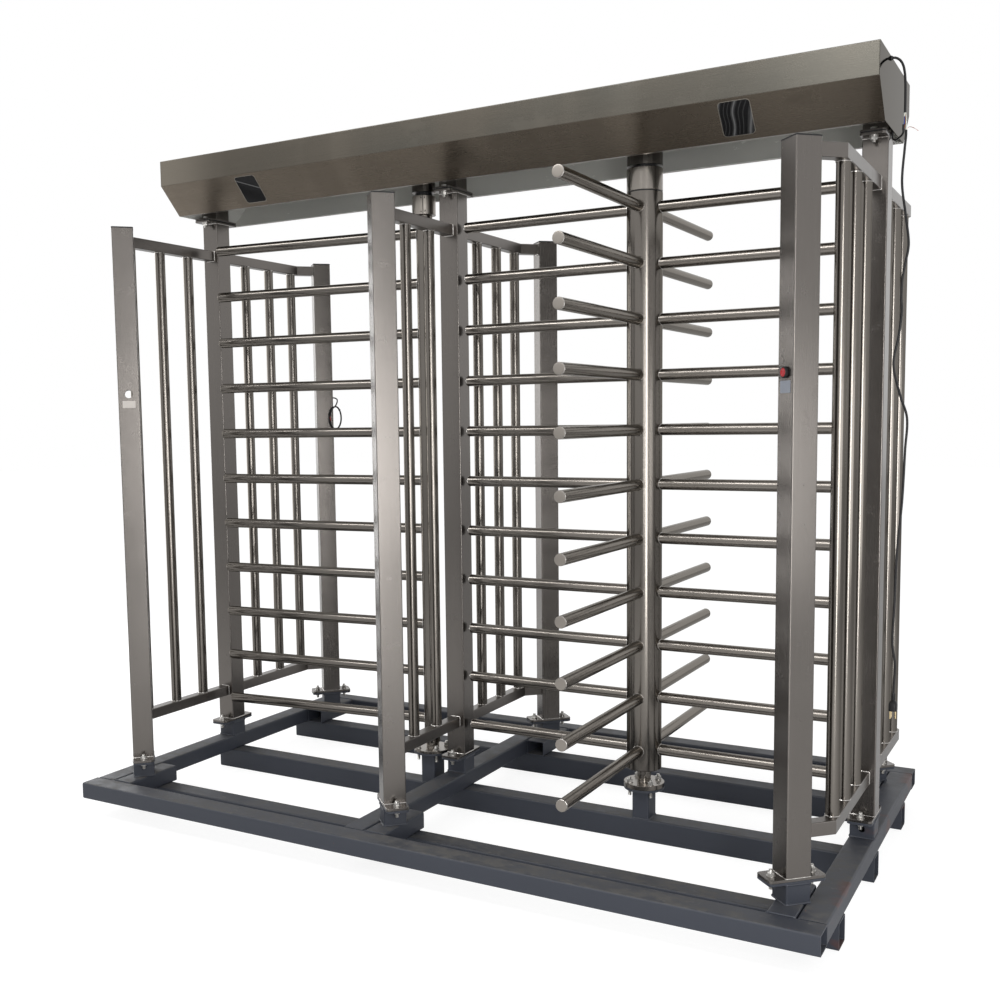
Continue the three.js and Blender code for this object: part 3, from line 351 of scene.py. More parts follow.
def header_steel(name, base, inner):
    """Brushed sheet with greasy smudges and unbrushed inside, and painted light on its outer faces.
    """
    finish = Finish(name)
    fine = finish.noise(800, 4, 0.7, drawn_out(0))
    coarse = finish.noise(90, 3, 0.6, drawn_out(0, 0.02))
    broad = finish.noise(1.3, 3, 0.55)
    # Painted reflection: lighter bands across the length of the header.
    reflection_bands = finish.noise(5.5, 2, 0.5, (1, 0.05, 0.05)).between(0.5, 0.75)
    grease = finish.noise(11, 6, 0.72, (0.55, 1, 1)).between(0.52, 0.74)
    down = (0 - finish.facing(2)).between(0.2, 0.5)
    # Painted highlights: the faces that don't look down grow lighter towards both ends.
    right_end = finish.part_of_place(0).between(0.9, 1.38)
    left_end_highlight = 1 - finish.part_of_place(0).between(-1.36, -1.0)
    shade = 1 + fine.swing(0.09) + coarse.swing(0.1) + broad.swing(0.5)
    shade = shade + reflection_bands * 0.14 - grease * 0.1
    shade = shade + (right_end * 0.5 + left_end_highlight * 1.1) * (1 - down)
    # Painted shade: the faces that don't look down are darkened more than those that do.
    shade = shade * (0.58 + down * 0.26)
    rough = 0.27 + fine.swing(0.1) + grease * 0.12 + broad.swing(0.1)
    inside = inside_share(finish)
    # Painted reflection of the floor: a brown tint on the faces that look down, and half of it on
    # broad random patches.
    floor_reflection_brown = tuple(part * share for part, share in zip(base, (1.04, 0.93, 0.86)))
    floor_reflection_tinted = finish.mix(finish.math("MAXIMUM", down, broad.between(0.42, 0.62) * 0.5), base, floor_reflection_brown)
    tint = finish.mix(inside, finish.tinted(floor_reflection_tinted, shade), inner)
    return finish.surface(tint, rough - inside * 0.08, 1 - inside * 0.8, fine + coarse * 0.6,
                          0.1, 0.00025)


def arm_steel(name, base, weld, tip):
    """Satin tube whose end discs and their welds lie near a distance from the rotor's axis; the
    welds get a painted highlight.
    """
    finish = Finish(name)
    fine, shade, wear = satin_wear(finish)
    axis = middle_of("rotor_foot_bearing")
    across = finish.part_of_place(0) - axis.x
    ahead = finish.part_of_place(1) - axis.y
    reach = finish.math("SQRT", across * across + ahead * ahead)
    disc = reach.between(tip - 0.0014, tip - 0.0008)
    rim = reach.between(tip - 0.0042, tip - 0.0036) * (1 - disc)
    tint = finish.mix(rim * 0.9, finish.tinted(base, shade + disc * 0.35), weld)
    return finish.surface(tint, 0.21 + wear + disc * 0.14, 1.0, fine, 0.02, 0.0001,
                          edge=(0.7, 0.69, 0.67))


def base_paint(name, slate, dust, rust):
    """Matt paint with dust and scrapes on what faces up, rust spots and primer at one end."""
    finish = Finish(name)
    peel = finish.noise(420, 2, 0.5)
    broad = finish.noise(3.4, 4, 0.6)
    grime = finish.noise(31, 6, 0.75, (0.6, 1, 1))
    up = finish.facing(2).between(0.5, 0.95)
    dusty = up * (0.25 + 0.75 * grime.between(0.42, 0.62)) * broad.between(0.25, 0.6)
    scraped = up * finish.noise(70, 5, 0.8, (0.35, 1, 1)).between(0.6, 0.68)
    right_end = finish.part_of_place(0).between(1.31, 1.345)
    primer = right_end * finish.noise(5.5, 3, 0.55, (1, 1, 2.2)).between(0.56, 0.62)
    spots = finish.noise(46, 5, 0.7).between(0.705, 0.735)
    tint = finish.tinted(slate, 0.92 + broad * 0.16 + peel.swing(0.05))
    for share, over in ((dusty * 0.8, dust), (scraped * 0.55, lit(dust, 1.5)),
                        (primer * 0.55, (0.085, 0.034, 0.027)), (spots * 0.7, rust)):
        tint = finish.mix(share, tint, over)
    rough = 0.46 + dusty * 0.35 + spots * 0.3 + broad.swing(0.12)
    return finish.surface(tint, rough, 0.0, peel + grime * 0.6, 0.16, 0.0004, specular=0.35)


# Even finishes: scale, detail and roughness of the noise that wears them and of the noise that
# raises them, their lowest shade and its rise, the swing of their roughness, how metallic they
# are, and the strength and depth of their bumps
EVEN = {
    "dark": ((9, 5, 0.65), (500, 3, 0.6), 0.85, 0.35, 0.25, 0.75, 0.08, 0.0002),
    "zinc": ((140, 3, 0.6), (140, 3, 0.6), 0.82, 0.36, 0.2, 1.0, 0.05, 0.0002),
    "plastic": ((60, 4, 0.6), (1400, 2, 0.5), 0.9, 0.2, 0.12, 0.0, 0.08, 0.0001),
    "paint": ((120, 4, 0.6), (120, 4, 0.6), 0.93, 0.14, 0.15, 0.0, 0.05, 0.0001),
    "bright": ((700, 3, 0.6), (700, 3, 0.6), 0.92, 0.16, 0.1, 1.0, 0.04, 0.0001),
}


def even_finish(name, kind, base, roughness, specular=0.5, right=None):
    """One of the even finishes, with a colour of its own for the right half where there is one."""
    finish = Finish(name)
    wear, grain, lowest, rise, sway, metallic, strength, depth = EVEN[kind]
    worn = finish.noise(*wear)
    raised = worn if grain == wear else finish.noise(*grain)
    if right:
        base = finish.mix(finish.part_of_place(0).between(-0.1, 0.1), base, right)
    return finish.surface(finish.tinted(base, lowest + worn * rise),
                          roughness + worn.swing(sway), metallic, raised, strength, depth,
                          specular)


def crest(finish, run, sharpness):
    """1 half way along each whole step of run, and less beside it."""
    return 1 - finish.math("ABSOLUTE", finish.math("FRACT", run) - 0.5) * sharpness


def glossy_window(name):
    """Black panel with painted reflections: two light streaks and some fine ones right, one left.
    """
    finish = Finish(name)
    x, z = finish.part_of_place(0), finish.part_of_place(2)
    run = x * 19 - z * 7 + finish.noise(5.5, 1, 0.4) * 2.6
    reflection_streaks = finish.math("MAXIMUM", crest(finish, run, 7).between(0.0, 1.4),
                        crest(finish, run * 4, 5).between(0.0, 1.2) * 0.22)
    low, high = box_of("indicator_window_left")
    across = (x - low.x) * (1 / (high.x - low.x))
    drop = (high.z - z) * (1 / (high.z - low.z))
    left_reflection_streak = 1 - finish.math("ABSOLUTE", drop - across * 0.36 - 0.17) * 30
    side = x.between(-0.1, 0.1)
    line = reflection_streaks * side + left_reflection_streak.between(0.0, 1.2) * (1 - side)
    haze = finish.noise(260, 4, 0.7)
    # Painted reflection: the streaks lighten the black base colour to grey.
    base = finish.mix(line * 0.6, (0.004, 0.004, 0.0045), (0.21, 0.21, 0.21))
    return finish.surface(base, 0.16 + line * 0.2 + haze.swing(0.05), 0.0, haze, 0.03, 0.0002,
                          specular=0.16)


def cord_sheath(name, base):
    """Black sheath with a little dust."""
    finish = Finish(name)
    ripple = finish.noise(420, 3, 0.6)
    dust = finish.noise(55, 4, 0.6).between(0.5, 0.8)
    tint = finish.mix(dust * 0.35, base, (0.03, 0.028, 0.026))
    return finish.surface(tint, 0.42 + dust * 0.2, 0.0, ripple, 0.12, 0.0002, specular=0.25)


def arm_reach():
    """How far the arms reach from the axis of the rotor."""
    low, high = box_of(TIER_NODES[0])
    return (high.x - low.x) / 2


def recipes():
    """Each finish by its name: what makes it, and what that takes after the name."""
    c = colours()
    return {
        "post_steel": (brushed_steel, c.post, 2, 0.25),
        "tube_steel": (satin_steel, c.tube),
        "rail_steel": (brushed_steel, c.post, 1, 0.3),
        # The arms take the tubes' colour painted 1.35 times lighter, as painted light.
        "arm_steel": (arm_steel, lit(c.tube, 1.35), c.weld, arm_reach()),
        "casing_steel": (header_steel, c.casing, c.inside),
        "end_plate_steel": (end_plate_steel, lit(c.casing, 1.1), c.inside),
        "hanger_steel": (satin_steel, lit(c.post, 1.05), 0.3),
        "base_paint": (base_paint, c.slate, c.dust, c.rust),
        "window_gloss": (glossy_window,),
        "cord_sheath": (cord_sheath, c.sheath),
        "collar_steel": (even_finish, "bright", lit(c.tube, 1.9), 0.3),
        "turned_steel": (even_finish, "bright", lit(c.tube, 1.5), 0.2),
        "housing_steel": (even_finish, "bright", lit(c.tube, 0.75), 0.3),
        "weld_steel": (even_finish, "bright", c.weld, 0.24),
        "window_rim": (even_finish, "bright", (0.26, 0.24, 0.21), 0.35),
        "brass": (even_finish, "bright", (0.62, 0.5, 0.3), 0.24),
        "copper": (even_finish, "bright", (0.5, 0.17, 0.11), 0.35),
        "dark_steel": (even_finish, "dark", c.dark, 0.34),
        "zinc_plate": (even_finish, "zinc", c.zinc, 0.32),
        "box_paint": (even_finish, "paint", c.box_grey, 0.45),
        "label_plate": (even_finish, "paint", c.label, 0.5, 0.3, c.label_right),
        "black_plastic": (even_finish, "plastic", (0.012, 0.012, 0.013), 0.42, 0.22),
        "red_plastic": (even_finish, "plastic", c.red, 0.25, 0.4),
        "core_blue": (even_finish, "plastic", (0.012, 0.07, 0.36), 0.35, 0.22),
        "core_brown": (even_finish, "plastic", (0.16, 0.05, 0.02), 0.35, 0.22),
        "core_white": (even_finish, "plastic", (0.62, 0.64, 0.58), 0.4, 0.22),
        "core_red": (even_finish, "plastic", (0.4, 0.02, 0.02), 0.35, 0.22),
    }


FINISHES = {}


def finish_named(name):
    """The material of that name, made when it is first asked for."""
    if name not in FINISHES:
        maker, *facts = recipes()[name]
        FINISHES[name] = maker(name, *facts)
    return FINISHES[name]


# Mesh work


def at(x=0.0, y=0.0, z=0.0, turn=0.0):
    return Matrix.Translation((x, y, z)) @ Matrix.Rotation(turn, 4, "Z")


def framed(x_axis, y_axis, z_axis, spot):
    """A frame from its three axes and its origin."""
    matrix = Matrix((x_axis, y_axis, z_axis)).transposed().to_4x4()
    matrix.translation = spot
    return matrix


def aimed(start, end):
    """A frame at start whose Z points to end, with its Y as near to upright as it can be."""
    start = Vector(start)
    ahead = (Vector(end) - start).normalized()
    across = UP.cross(ahead)
    if across.length < 1e-6:
        across = Vector((1, 0, 0)).cross(ahead)
    across.normalize()
    return framed(across, ahead.cross(across), ahead, start)


def rounded(width, depth, radius, steps=4):
    """Outline of a rectangle with round corners, anticlockwise."""
    points = []
    for corner, (sx, sy) in enumerate(((1, 1), (-1, 1), (-1, -1), (1, -1))):
        cx = sx * (width / 2 - radius)
        cy = sy * (depth / 2 - radius)
        for i in range(steps + 1):
            angle = (corner + i / steps) * QUARTER
            points.append((cx + radius * math.cos(angle), cy + radius * math.sin(angle)))
    return points


def circle(radius, sides):
    step = 2 * math.pi / sides
    return [(radius * math.cos(i * step), radius * math.sin(i * step)) for i in range(sides)]


def ring(outline, matrix, z=0.0):
    return [matrix @ Vector((x, y, z)) for x, y in outline]


def skin(bm, rings, loop=False):
    """Faces between rings of equally many points, closed at the ends or round in a loop."""
    rows = [[bm.verts.new(point) for point in points] for points in rings]
    pairs = list(zip(rows, rows[1:]))
    if loop:
        pairs.append((rows[-1], rows[0]))
    for lower, upper in pairs:
        for i, vert in enumerate(lower):
            j = (i + 1) % len(lower)
            bm.faces.new((vert, lower[j], upper[j], upper[i]))
    if not loop:
        bm.faces.new(list(reversed(rows[0])))
        bm.faces.new(rows[-1])


def slab(bm, matrix, width, depth, corner, foot, top, edge=0.0008):
    """A plate with rounded corners and eased edges."""
    inner = rounded(width - 2 * edge, depth - 2 * edge, max(corner - edge, edge / 2))
    outer = rounded(width, depth, corner)
    skin(bm, [ring(inner, matrix, foot), ring(outer, matrix, foot + edge),
              ring(outer, matrix, top - edge), ring(inner, matrix, top)])


def box_tube(bm, matrix, run, width, depth, corner, wall, edge=0.0006):
    """A square or oblong tube of even wall, open at both ends."""
    outer = rounded(width, depth, corner)
    eased = rounded(width - 2 * edge, depth - 2 * edge, corner - edge)
    inner = rounded(width - 2 * wall, depth - 2 * wall, max(corner - wall, 0.001))
    skin(bm, [ring(eased, matrix, 0), ring(outer, matrix, edge), ring(outer, matrix, run - edge),
              ring(eased, matrix, run), ring(inner, matrix, run), ring(inner, matrix, 0)],
         loop=True)


def lathe(bm, matrix, profile, sides, loop=False):
    """A turned shape from pairs of radius and height. A radius of 0 closes it on its axis."""
    rows = []
    for radius, height in profile:
        outline = circle(radius, sides) if radius > 0 else [(0, 0)]
        rows.append([bm.verts.new(point) for point in ring(outline, matrix, height)])
    pairs = list(zip(rows, rows[1:]))
    if loop:
        pairs.append((rows[-1], rows[0]))
    for lower, upper in pairs:
        for i in range(sides):
            j = (i + 1) % sides
            corners = [lower[i % len(lower)], lower[j % len(lower)],
                       upper[j % len(upper)], upper[i % len(upper)]]
            bm.faces.new([v for k, v in enumerate(corners) if v not in corners[:k]])


def rod_profile(radius, foot, top, edge):
    """Profile of a round bar with eased ends."""
    return [(0, foot), (radius - edge, foot), (radius, foot + edge), (radius, top - edge),
            (radius - edge, top), (0, top)]


def hexagon(bm, matrix, across, foot, top):
    """A nut or bolt head, with its corners turned off."""
    corner = across / math.sqrt(3)
    step = across * 0.045
    flat = circle(corner * 0.93, 6)
    full = circle(corner, 6)
    skin(bm, [ring(flat, matrix, foot), ring(full, matrix, foot + step),
              ring(full, matrix, top - step), ring(flat, matrix, top)])


def thread_profile(radius, foot, top):
    """Profile of a threaded end as a stack of ridges."""
    pitch, depth, chamfer = 0.00175, 0.0008, 0.001
    core = radius - depth
    profile = [(0, foot), (core - chamfer, foot)]
    ridges = max(1, int((top - foot) / pitch))
    step = (top - foot) / ridges
    for i in range(ridges):
        profile.append((core, foot + i * step + 0.0001))
        profile.append((radius, foot + (i + 0.5) * step))
    return profile + [(core, top - 0.0003), (core - chamfer, top), (0, top)]


def swept(bm, points, radius, sides, closed=False):
    """A round tube along points, turned as little as possible from one to the next."""
    points = [Vector(p) for p in points]
    count = len(points)
    ahead = [(points[min(i + 1, count - 1)] - points[max(i - 1, 0)]).normalized()
             for i in range(count)]
    side = ahead[0].orthogonal().normalized()
    section = circle(radius, sides)
    rings = []
    for point, way in zip(points, ahead):
        side = (side - way * side.dot(way)).normalized()
        other = way.cross(side)
        rings.append([point + side * x + other * y for x, y in section])
    skin(bm, rings, loop=closed)


def run_through(knots, step):
    """Points along a smooth centripetal curve through knots, about step apart."""
    knots = [Vector(k) for k in knots]
    first = knots[0] * 2 - knots[1]
    last = knots[-1] * 2 - knots[-2]
    padded = [first, *knots, last]
    points = [knots[0]]
    for i in range(1, len(padded) - 2):
        p0, p1, p2, p3 = padded[i - 1:i + 3]
        gaps = [max((b - a).length ** 0.5, 1e-4) for a, b in ((p0, p1), (p1, p2), (p2, p3))]
        t1 = (p1 - p0) / gaps[0] - (p2 - p0) / (gaps[0] + gaps[1]) + (p2 - p1) / gaps[1]
        t2 = (p2 - p1) / gaps[1] - (p3 - p1) / (gaps[1] + gaps[2]) + (p3 - p2) / gaps[2]
        t1 *= gaps[1]
        t2 *= gaps[1]
        pieces = max(1, round((p2 - p1).length / step))
        for k in range(1, pieces + 1):
            t = k / pieces
            points.append(p1 + t1 * t + (-3 * p1 + 3 * p2 - 2 * t1 - t2) * t ** 2
                          + (2 * p1 - 2 * p2 + t1 + t2) * t ** 3)
    return points


def path_length(points):
    return sum((b - a).length for a, b in zip(points, points[1:]))


def linked(name, data):
    """A new object of the scene."""
    obj = bpy.data.objects.new(name, data)
    bpy.context.scene.collection.objects.link(obj)
    return obj


def mesh_object(name, bm):
    bmesh.ops.remove_doubles(bm, verts=bm.verts, dist=1e-6)
    bmesh.ops.recalc_face_normals(bm, faces=bm.faces)
    mesh = bpy.data.meshes.new(name)
    bm.to_mesh(mesh)
    bm.free()
    return linked(name, mesh)


def wire_object(name, points, edges=()):
    """An object of loose points and edges, for a growth to grow on."""
    mesh = bpy.data.meshes.new(name)
    mesh.from_pydata([tuple(point) for point in points], list(edges), [])
    return linked(name, mesh)


def smooth(obj):
    """Smooth shading between sharp edges, with flats that stay flat up to their eased corners."""
    obj.data.polygons.foreach_set("use_smooth", [True] * len(obj.data.polygons))
    obj.data.set_sharp_from_angle(angle=SMOOTH_ANGLE)
    weighted = obj.modifiers.new("flats", "WEIGHTED_NORMAL")
    weighted.mode = "FACE_AREA"
    weighted.keep_sharp = True
    return baked(obj)


def settle(obj, body, material, nodes=()):
    """Gives a finished piece its material and body, and hides the nodes it stands for."""
    obj.data.materials.clear()
    obj.data.materials.append(finish_named(material))
    smooth(obj)
    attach(obj, body)
    if nodes:
        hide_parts(*nodes)
    return obj


def piece(name, bm, body, material, nodes=()):
    return settle(mesh_object(name, bm), body, material, nodes)


def baked(obj):
    """Turns an object with live modifiers into a plain mesh."""
    bpy.context.view_layer.update()
    graph = bpy.context.evaluated_depsgraph_get()
    mesh = bpy.data.meshes.new_from_object(obj.evaluated_get(graph), depsgraph=graph)
    mesh.name = obj.name
    obj.modifiers.clear()
    obj.data = mesh
    return obj


def drilled(obj, spot, ahead, radius, run, sides):
    """The object with a round hole that starts at a spot and runs towards another."""
    cutter = bmesh.new()
    lathe(cutter, aimed(spot, ahead), rod_profile(radius, 0, run, 0.0001), sides)
    return carved(obj, cutter)


def carved(obj, cutter_bm):
    """The object with the cutter's solids taken out of it."""
    cutter = mesh_object(obj.name + "_cutter", cutter_bm)
    modifier = obj.modifiers.new("cut", "BOOLEAN")
    modifier.operation = "DIFFERENCE"
    modifier.solver = "EXACT"
    modifier.use_self = True
    modifier.object = cutter
    baked(obj)
    bpy.data.objects.remove(cutter)
    return obj


# Geometry nodes


class Growth(Tree):
    """A geometry node tree with named inputs."""

    def __init__(self, name, inputs):
        super().__init__(bpy.data.node_groups.new(name, "GeometryNodeTree"))
        face = self.tree.interface
        face.new_socket("Geometry", in_out="OUTPUT", socket_type="NodeSocketGeometry")
        self.keys = {
            label: face.new_socket(label, in_out="INPUT", socket_type=kind).identifier
            for label, kind in inputs.items()}
        self.start = self.node("NodeGroupInput")
        self.end = self.node("NodeGroupOutput")

    def given(self, label):
        return self.start.outputs[label]

    def finished(self, geometry):
        """Ends the tree: real geometry in its material."""
        real = self.node("GeometryNodeRealizeInstances", None, {0: geometry})
        painted = self.node("GeometryNodeSetMaterial", None, {
            "Geometry": real.outputs[0], "Material": self.given("Material")})
        self.feed(self.end.inputs[0], painted.outputs[0])
        return self

    def grow(self, obj, **values):
        """Gives an object the growth with these inputs, and turns the result into its mesh."""
        modifier = obj.modifiers.new("growth", "NODES")
        modifier.node_group = self.tree
        for label, value in values.items():
            modifier[self.keys[label]] = value
        return baked(obj)


def row_growth():
    """Copies of a template along a straight line."""
    growth = Growth("row_of_bars", {
        "Geometry": "NodeSocketGeometry", "Count": "NodeSocketInt", "Step": "NodeSocketVector",
        "Material": "NodeSocketMaterial"})
    line = growth.node("GeometryNodeMeshLine", {"mode": "OFFSET"}, {
        "Count": growth.given("Count"), "Offset": growth.given("Step")})
    copies = growth.node("GeometryNodeInstanceOnPoints", None, {
        "Points": line.outputs[0], "Instance": growth.given("Geometry")})
    return growth.finished(copies.outputs[0])


def bolt_growth():
    """A fastener on every point, each turned by chance about its own axis."""
    growth = Growth("fasteners", {
        "Geometry": "NodeSocketGeometry", "Fastener": "NodeSocketObject",
        "Seed": "NodeSocketInt", "Material": "NodeSocketMaterial"})
    fastener = growth.node("GeometryNodeObjectInfo", None, {"Object": growth.given("Fastener")})
    turn = growth.node("FunctionNodeRandomValue", {"data_type": "FLOAT_VECTOR"}, {
        0: (0, 0, 0), 1: (0, 0, math.pi), "Seed": growth.given("Seed")})
    points = growth.node("GeometryNodeMeshToPoints", None, {"Mesh": growth.given("Geometry")})
    copies = growth.node("GeometryNodeInstanceOnPoints", None, {
        "Points": points.outputs[0], "Instance": fastener.outputs["Geometry"],
        "Rotation": turn.outputs[0]})
    return growth.finished(copies.outputs[0])


def weld_growth():
    """A rippled bead along every chain of edges."""
    growth = Growth("weld_beads", {
        "Geometry": "NodeSocketGeometry", "Radius": "NodeSocketFloat",
        "Step": "NodeSocketFloat", "Ripple": "NodeSocketFloat", "Ripples": "NodeSocketFloat",
        "Material": "NodeSocketMaterial"})
    curve = growth.node("GeometryNodeMeshToCurve", None, {0: growth.given("Geometry")})
    evened = growth.node("GeometryNodeResampleCurve", {"mode": "LENGTH"}, {
        "Curve": curve.outputs[0], "Length": growth.given("Step")})
    section = growth.node("GeometryNodeCurvePrimitiveCircle", None, {
        "Resolution": 6, "Radius": growth.given("Radius")})
    bead = growth.node("GeometryNodeCurveToMesh", None, {
        "Curve": evened.outputs[0], "Profile Curve": section.outputs[0]})
    noise = growth.node("ShaderNodeTexNoise", None, {
        "Scale": growth.given("Ripples"), "Detail": 1.0})
    lift = Value(growth, noise.outputs[0]).swing(growth.given("Ripple"))
    normal = growth.node("GeometryNodeInputNormal")
    offset = growth.node("ShaderNodeVectorMath", {"operation": "SCALE"}, {
        0: normal.outputs[0], "Scale": lift})
    moved = growth.node("GeometryNodeSetPosition", None, {
        "Geometry": bead.outputs[0], "Offset": offset.outputs[0]})
    return growth.finished(moved.outputs[0])


GROWTHS = {}


def growth_named(name):
    if name not in GROWTHS:
        GROWTHS[name] = {"row": row_growth, "bolt": bolt_growth, "weld": weld_growth}[name]()
    return GROWTHS[name]


def row_of(name, bm, count, step, body, material, nodes=()):
    """A row of copies of the template in bm, as one piece."""
    obj = growth_named("row").grow(mesh_object(name, bm), Count=count, Step=step,
                                   Material=finish_named(material))
    return settle(obj, body, material, nodes)


def fasteners(name, spots, template_bm, seed=3):
    """A copy of the template on each spot."""
    template = mesh_object(name + "_template", template_bm)
    obj = growth_named("bolt").grow(wire_object(name, spots), Fastener=template, Seed=seed,
                                    Material=finish_named("zinc_plate"))
    bpy.data.objects.remove(template)
    return settle(obj, "frame", "zinc_plate")


# How fine the ripples of a weld are, and the closed paths by their kind of weld, which get
# their beads when all pieces are made
WELD_RIPPLES = 260.0
WELD_PATHS = {}


def weld_along(kind, points):
    """Notes a closed path for a weld."""
    WELD_PATHS.setdefault(kind, []).append([Vector(p) for p in points])


def weld_round(kind, post, *heights):
    """Notes welds round a square post at some heights."""
    s = sizes()
    outline = rounded(s.post_width, s.post_width, s.post_corner, 3)
    for z in heights:
        weld_along(kind, ring(outline, post, z))


def make_welds(name, kind, radius, body, material):
    """The beads of one kind of weld, as one piece."""
    points, edges = [], []
    for path in WELD_PATHS[kind]:
        first = len(points)
        points += path
        edges += [(first + i, first + (i + 1) % len(path)) for i in range(len(path))]
    s = sizes()
    obj = growth_named("weld").grow(
        wire_object(name, points, edges), Radius=radius, Step=s.weld_step, Ripple=s.weld_ripple,
        Ripples=WELD_RIPPLES, Material=finish_named(material))
    return settle(obj, body, material)


# Places on the part


def line_x(line):
    return middle_of(f"mid_post_{line}").x


def end_post_frame(side, line):
    """The frame of an end post: its origin on the floor and its Y along the foot plate."""
    spot = middle_of(f"end_post_{side}_{line}")
    return at(spot.x, spot.y, 0, -WINGS[line] * SIDES[side] * math.pi / 4)


def post_frames():
    """Frames of all nine posts by name."""
    frames = {f"mid_post_{line}": at(line_x(line)) for line in LINES}
    for side in SIDES:
        for line in LINES:
            frames[f"end_post_{side}_{line}"] = end_post_frame(side, line)
    return frames


def plate_heights():
    """Top of the sills, foot of the painted plates and foot of the steel foot plates."""
    s = sizes()
    foot = box_of("mid_post_left")[0].z
    painted = foot - SEAT_GAP - s.plate_thickness
    return painted - s.stub_height, painted, foot


# The pieces


def base_tube(bm, start, end, height):
    """A tube of the base between two points on its middle line."""
    s = sizes()
    start, end = Vector(start), Vector(end)
    box_tube(bm, aimed(start, end), (end - start).length, s.base_width, height, s.base_corner,
             s.base_wall)


def square_tube(bm, post, foot, top, corner):
    """A square tube as wide as the posts."""
    s = sizes()
    box_tube(bm, post @ at(z=foot), top - foot, s.post_width, s.post_width, corner, s.post_wall)


def post_plate(bm, post, foot):
    """A plate that a post or a stub stands on or carries."""
    s = sizes()
    slab(bm, post, s.post_width, s.plate_length, s.plate_corner, foot, foot + s.plate_thickness)


def pedestal(bm, node):
    """A stub on the middle skid and the painted flange on it, under a foot bearing."""
    s = sizes()
    low, high = box_of(node)
    spot = middle_of(node)
    axis = at(spot.x, spot.y)
    stub = (0.06, s.post_width, 0.005)
    top = box_of("skid_front")[1].z
    flange_foot = low.z - SEAT_GAP - s.plate_thickness
    box_tube(bm, axis @ at(z=top - 2 * SINK), flange_foot - top + 2 * SINK, *stub, s.base_wall)
    lathe(bm, axis, rod_profile((high.x - low.x) / 2, flange_foot,
                                flange_foot + s.plate_thickness, 0.0009), 64)
    for z in (top, flange_foot):
        weld_along("paint", ring(rounded(*stub, 3), axis, z))


def make_base():
    """Skids, pedestals, cross beams, sills, stubs and painted plates."""
    s = sizes()
    low, high = box_of("skid_front")
    z = high.z / 2
    skid_y = middle_of("skid_rear").y
    for name, y in (("skid_front", -skid_y), ("skid_rear", skid_y), ("skid_middle", 0.0)):
        bm = bmesh.new()
        base_tube(bm, (low.x, y, z), (high.x, y, z), high.z)
        if name == "skid_middle":
            pedestal(bm, "rotor_foot_bearing")
            pedestal(bm, "gate_foot_bearing")
        piece(name + "_tube", bm, "frame", "base_paint", [name])

    sill_top, painted_foot, _ = plate_heights()
    z = sill_top - s.sill_height / 2
    for line in LINES:
        node = f"cross_beam_{line}"
        low, high = box_of(node)
        x = line_x(line)
        bm = bmesh.new()
        base_tube(bm, (x, low.y, z), (x, high.y, z), s.sill_height)
        make_stub(bm, at(x))
        beam = mesh_object(node + "_tube", bm)
        if line == WIRE_WAY_LINE:
            height = (sill_top + painted_foot) / 2
            drilled(beam, (x, -s.post_width, height), (x, 0, height), 0.010, s.post_width, 24)
        settle(beam, "frame", "base_paint", [node])
    seat_ring = rounded(s.base_width, s.sill_height, s.base_corner, 3)
    for side, sign in SIDES.items():
        low, high = box_of(f"sill_{side}")
        outer = sign * max(abs(low.y), abs(high.y))
        inner = outer - sign * s.base_width
        y = (outer + inner) / 2
        bm = bmesh.new()
        base_tube(bm, (low.x, y, z), (high.x, y, z), s.sill_height)
        for line in LINES:
            post = end_post_frame(side, line)
            x = post.translation.x
            base_tube(bm, (x, sign * s.seat_reach, z), (x, inner + sign * 2 * SINK, z),
                      s.sill_height)
            weld_along("paint", ring(seat_ring, aimed((x, inner, z), (x, outer, z))))
            make_stub(bm, post)
        piece(f"sill_{side}_tube", bm, "frame", "base_paint", [f"sill_{side}"])


def make_stub(bm, post):
    """A stub with the painted plate that a post's foot plate is bolted to."""
    s = sizes()
    sill_top, painted_foot, _ = plate_heights()
    square_tube(bm, post, sill_top - SINK, painted_foot + SINK, s.post_corner + 0.001)
    post_plate(bm, post, painted_foot)
    weld_round("paint", post, sill_top + 0.0008, painted_foot - 0.0008)


def make_post(name, post, top, hangs):
    """A square post on its foot plate, with a plate on top where the header hangs on it."""
    s = sizes()
    foot = plate_heights()[2]
    plate_top = foot + s.plate_thickness
    tube_top = top - s.plate_thickness if hangs else top
    bm = bmesh.new()
    square_tube(bm, post, plate_top - SINK, tube_top, s.post_corner)
    post_plate(bm, post, foot)
    weld_round("steel", post, plate_top + 0.0005)
    if hangs:
        post_plate(bm, post, tube_top)
        weld_round("steel", post, tube_top - 0.0005)
    return mesh_object(name + "_tube", bm)


def cap_post(bm, post, top):
    """A cap whose plug sits in the open top of a post."""
    s = sizes()
    width = s.post_width + s.cap_overhang
    hole = s.post_width - 2 * s.post_wall - 0.0004
    rim, full, plug = (rounded(side, side, corner) for side, corner in (
        (width - 0.003, s.post_corner), (width, s.post_corner), (hole, 0.002)))
    skirt, crown = top - s.cap_skirt, top + s.cap_height
    skin(bm, [ring(plug, post, top - 0.012), ring(plug, post, skirt), ring(full, post, skirt),
              ring(full, post, crown - 0.001), ring(rim, post, crown)])


# Holes at the button's height: diameter, and where the drill starts and how far it goes along
# the post's Y
POST_HOLES = {
    "end_post_front_left": (0.030, -0.08, 0.16),
    "end_post_front_right": (0.016, -0.08, 0.08),
    "end_post_rear_left": (0.008, 0.0, 0.08),
}


def make_posts():
    """Nine square posts on foot plates, six of them with black caps."""
    button_z = middle_of("push_button").z
    caps = bmesh.new()
    for name, post in post_frames().items():
        hangs = name.startswith("mid")
        top = box_of(name)[1].z
        if not hangs:
            top -= sizes().cap_height
            cap_post(caps, post, top)
        obj = make_post(name, post, top, hangs)
        if name in POST_HOLES:
            diameter, start, run = POST_HOLES[name]
            drilled(obj, post @ Vector((0, start, button_z)),
                    post @ Vector((0, start + 1, button_z)), diameter / 2, run, 40)
        settle(obj, "frame", "post_steel", [name])
    piece("post_caps", caps, "frame", "black_plastic")


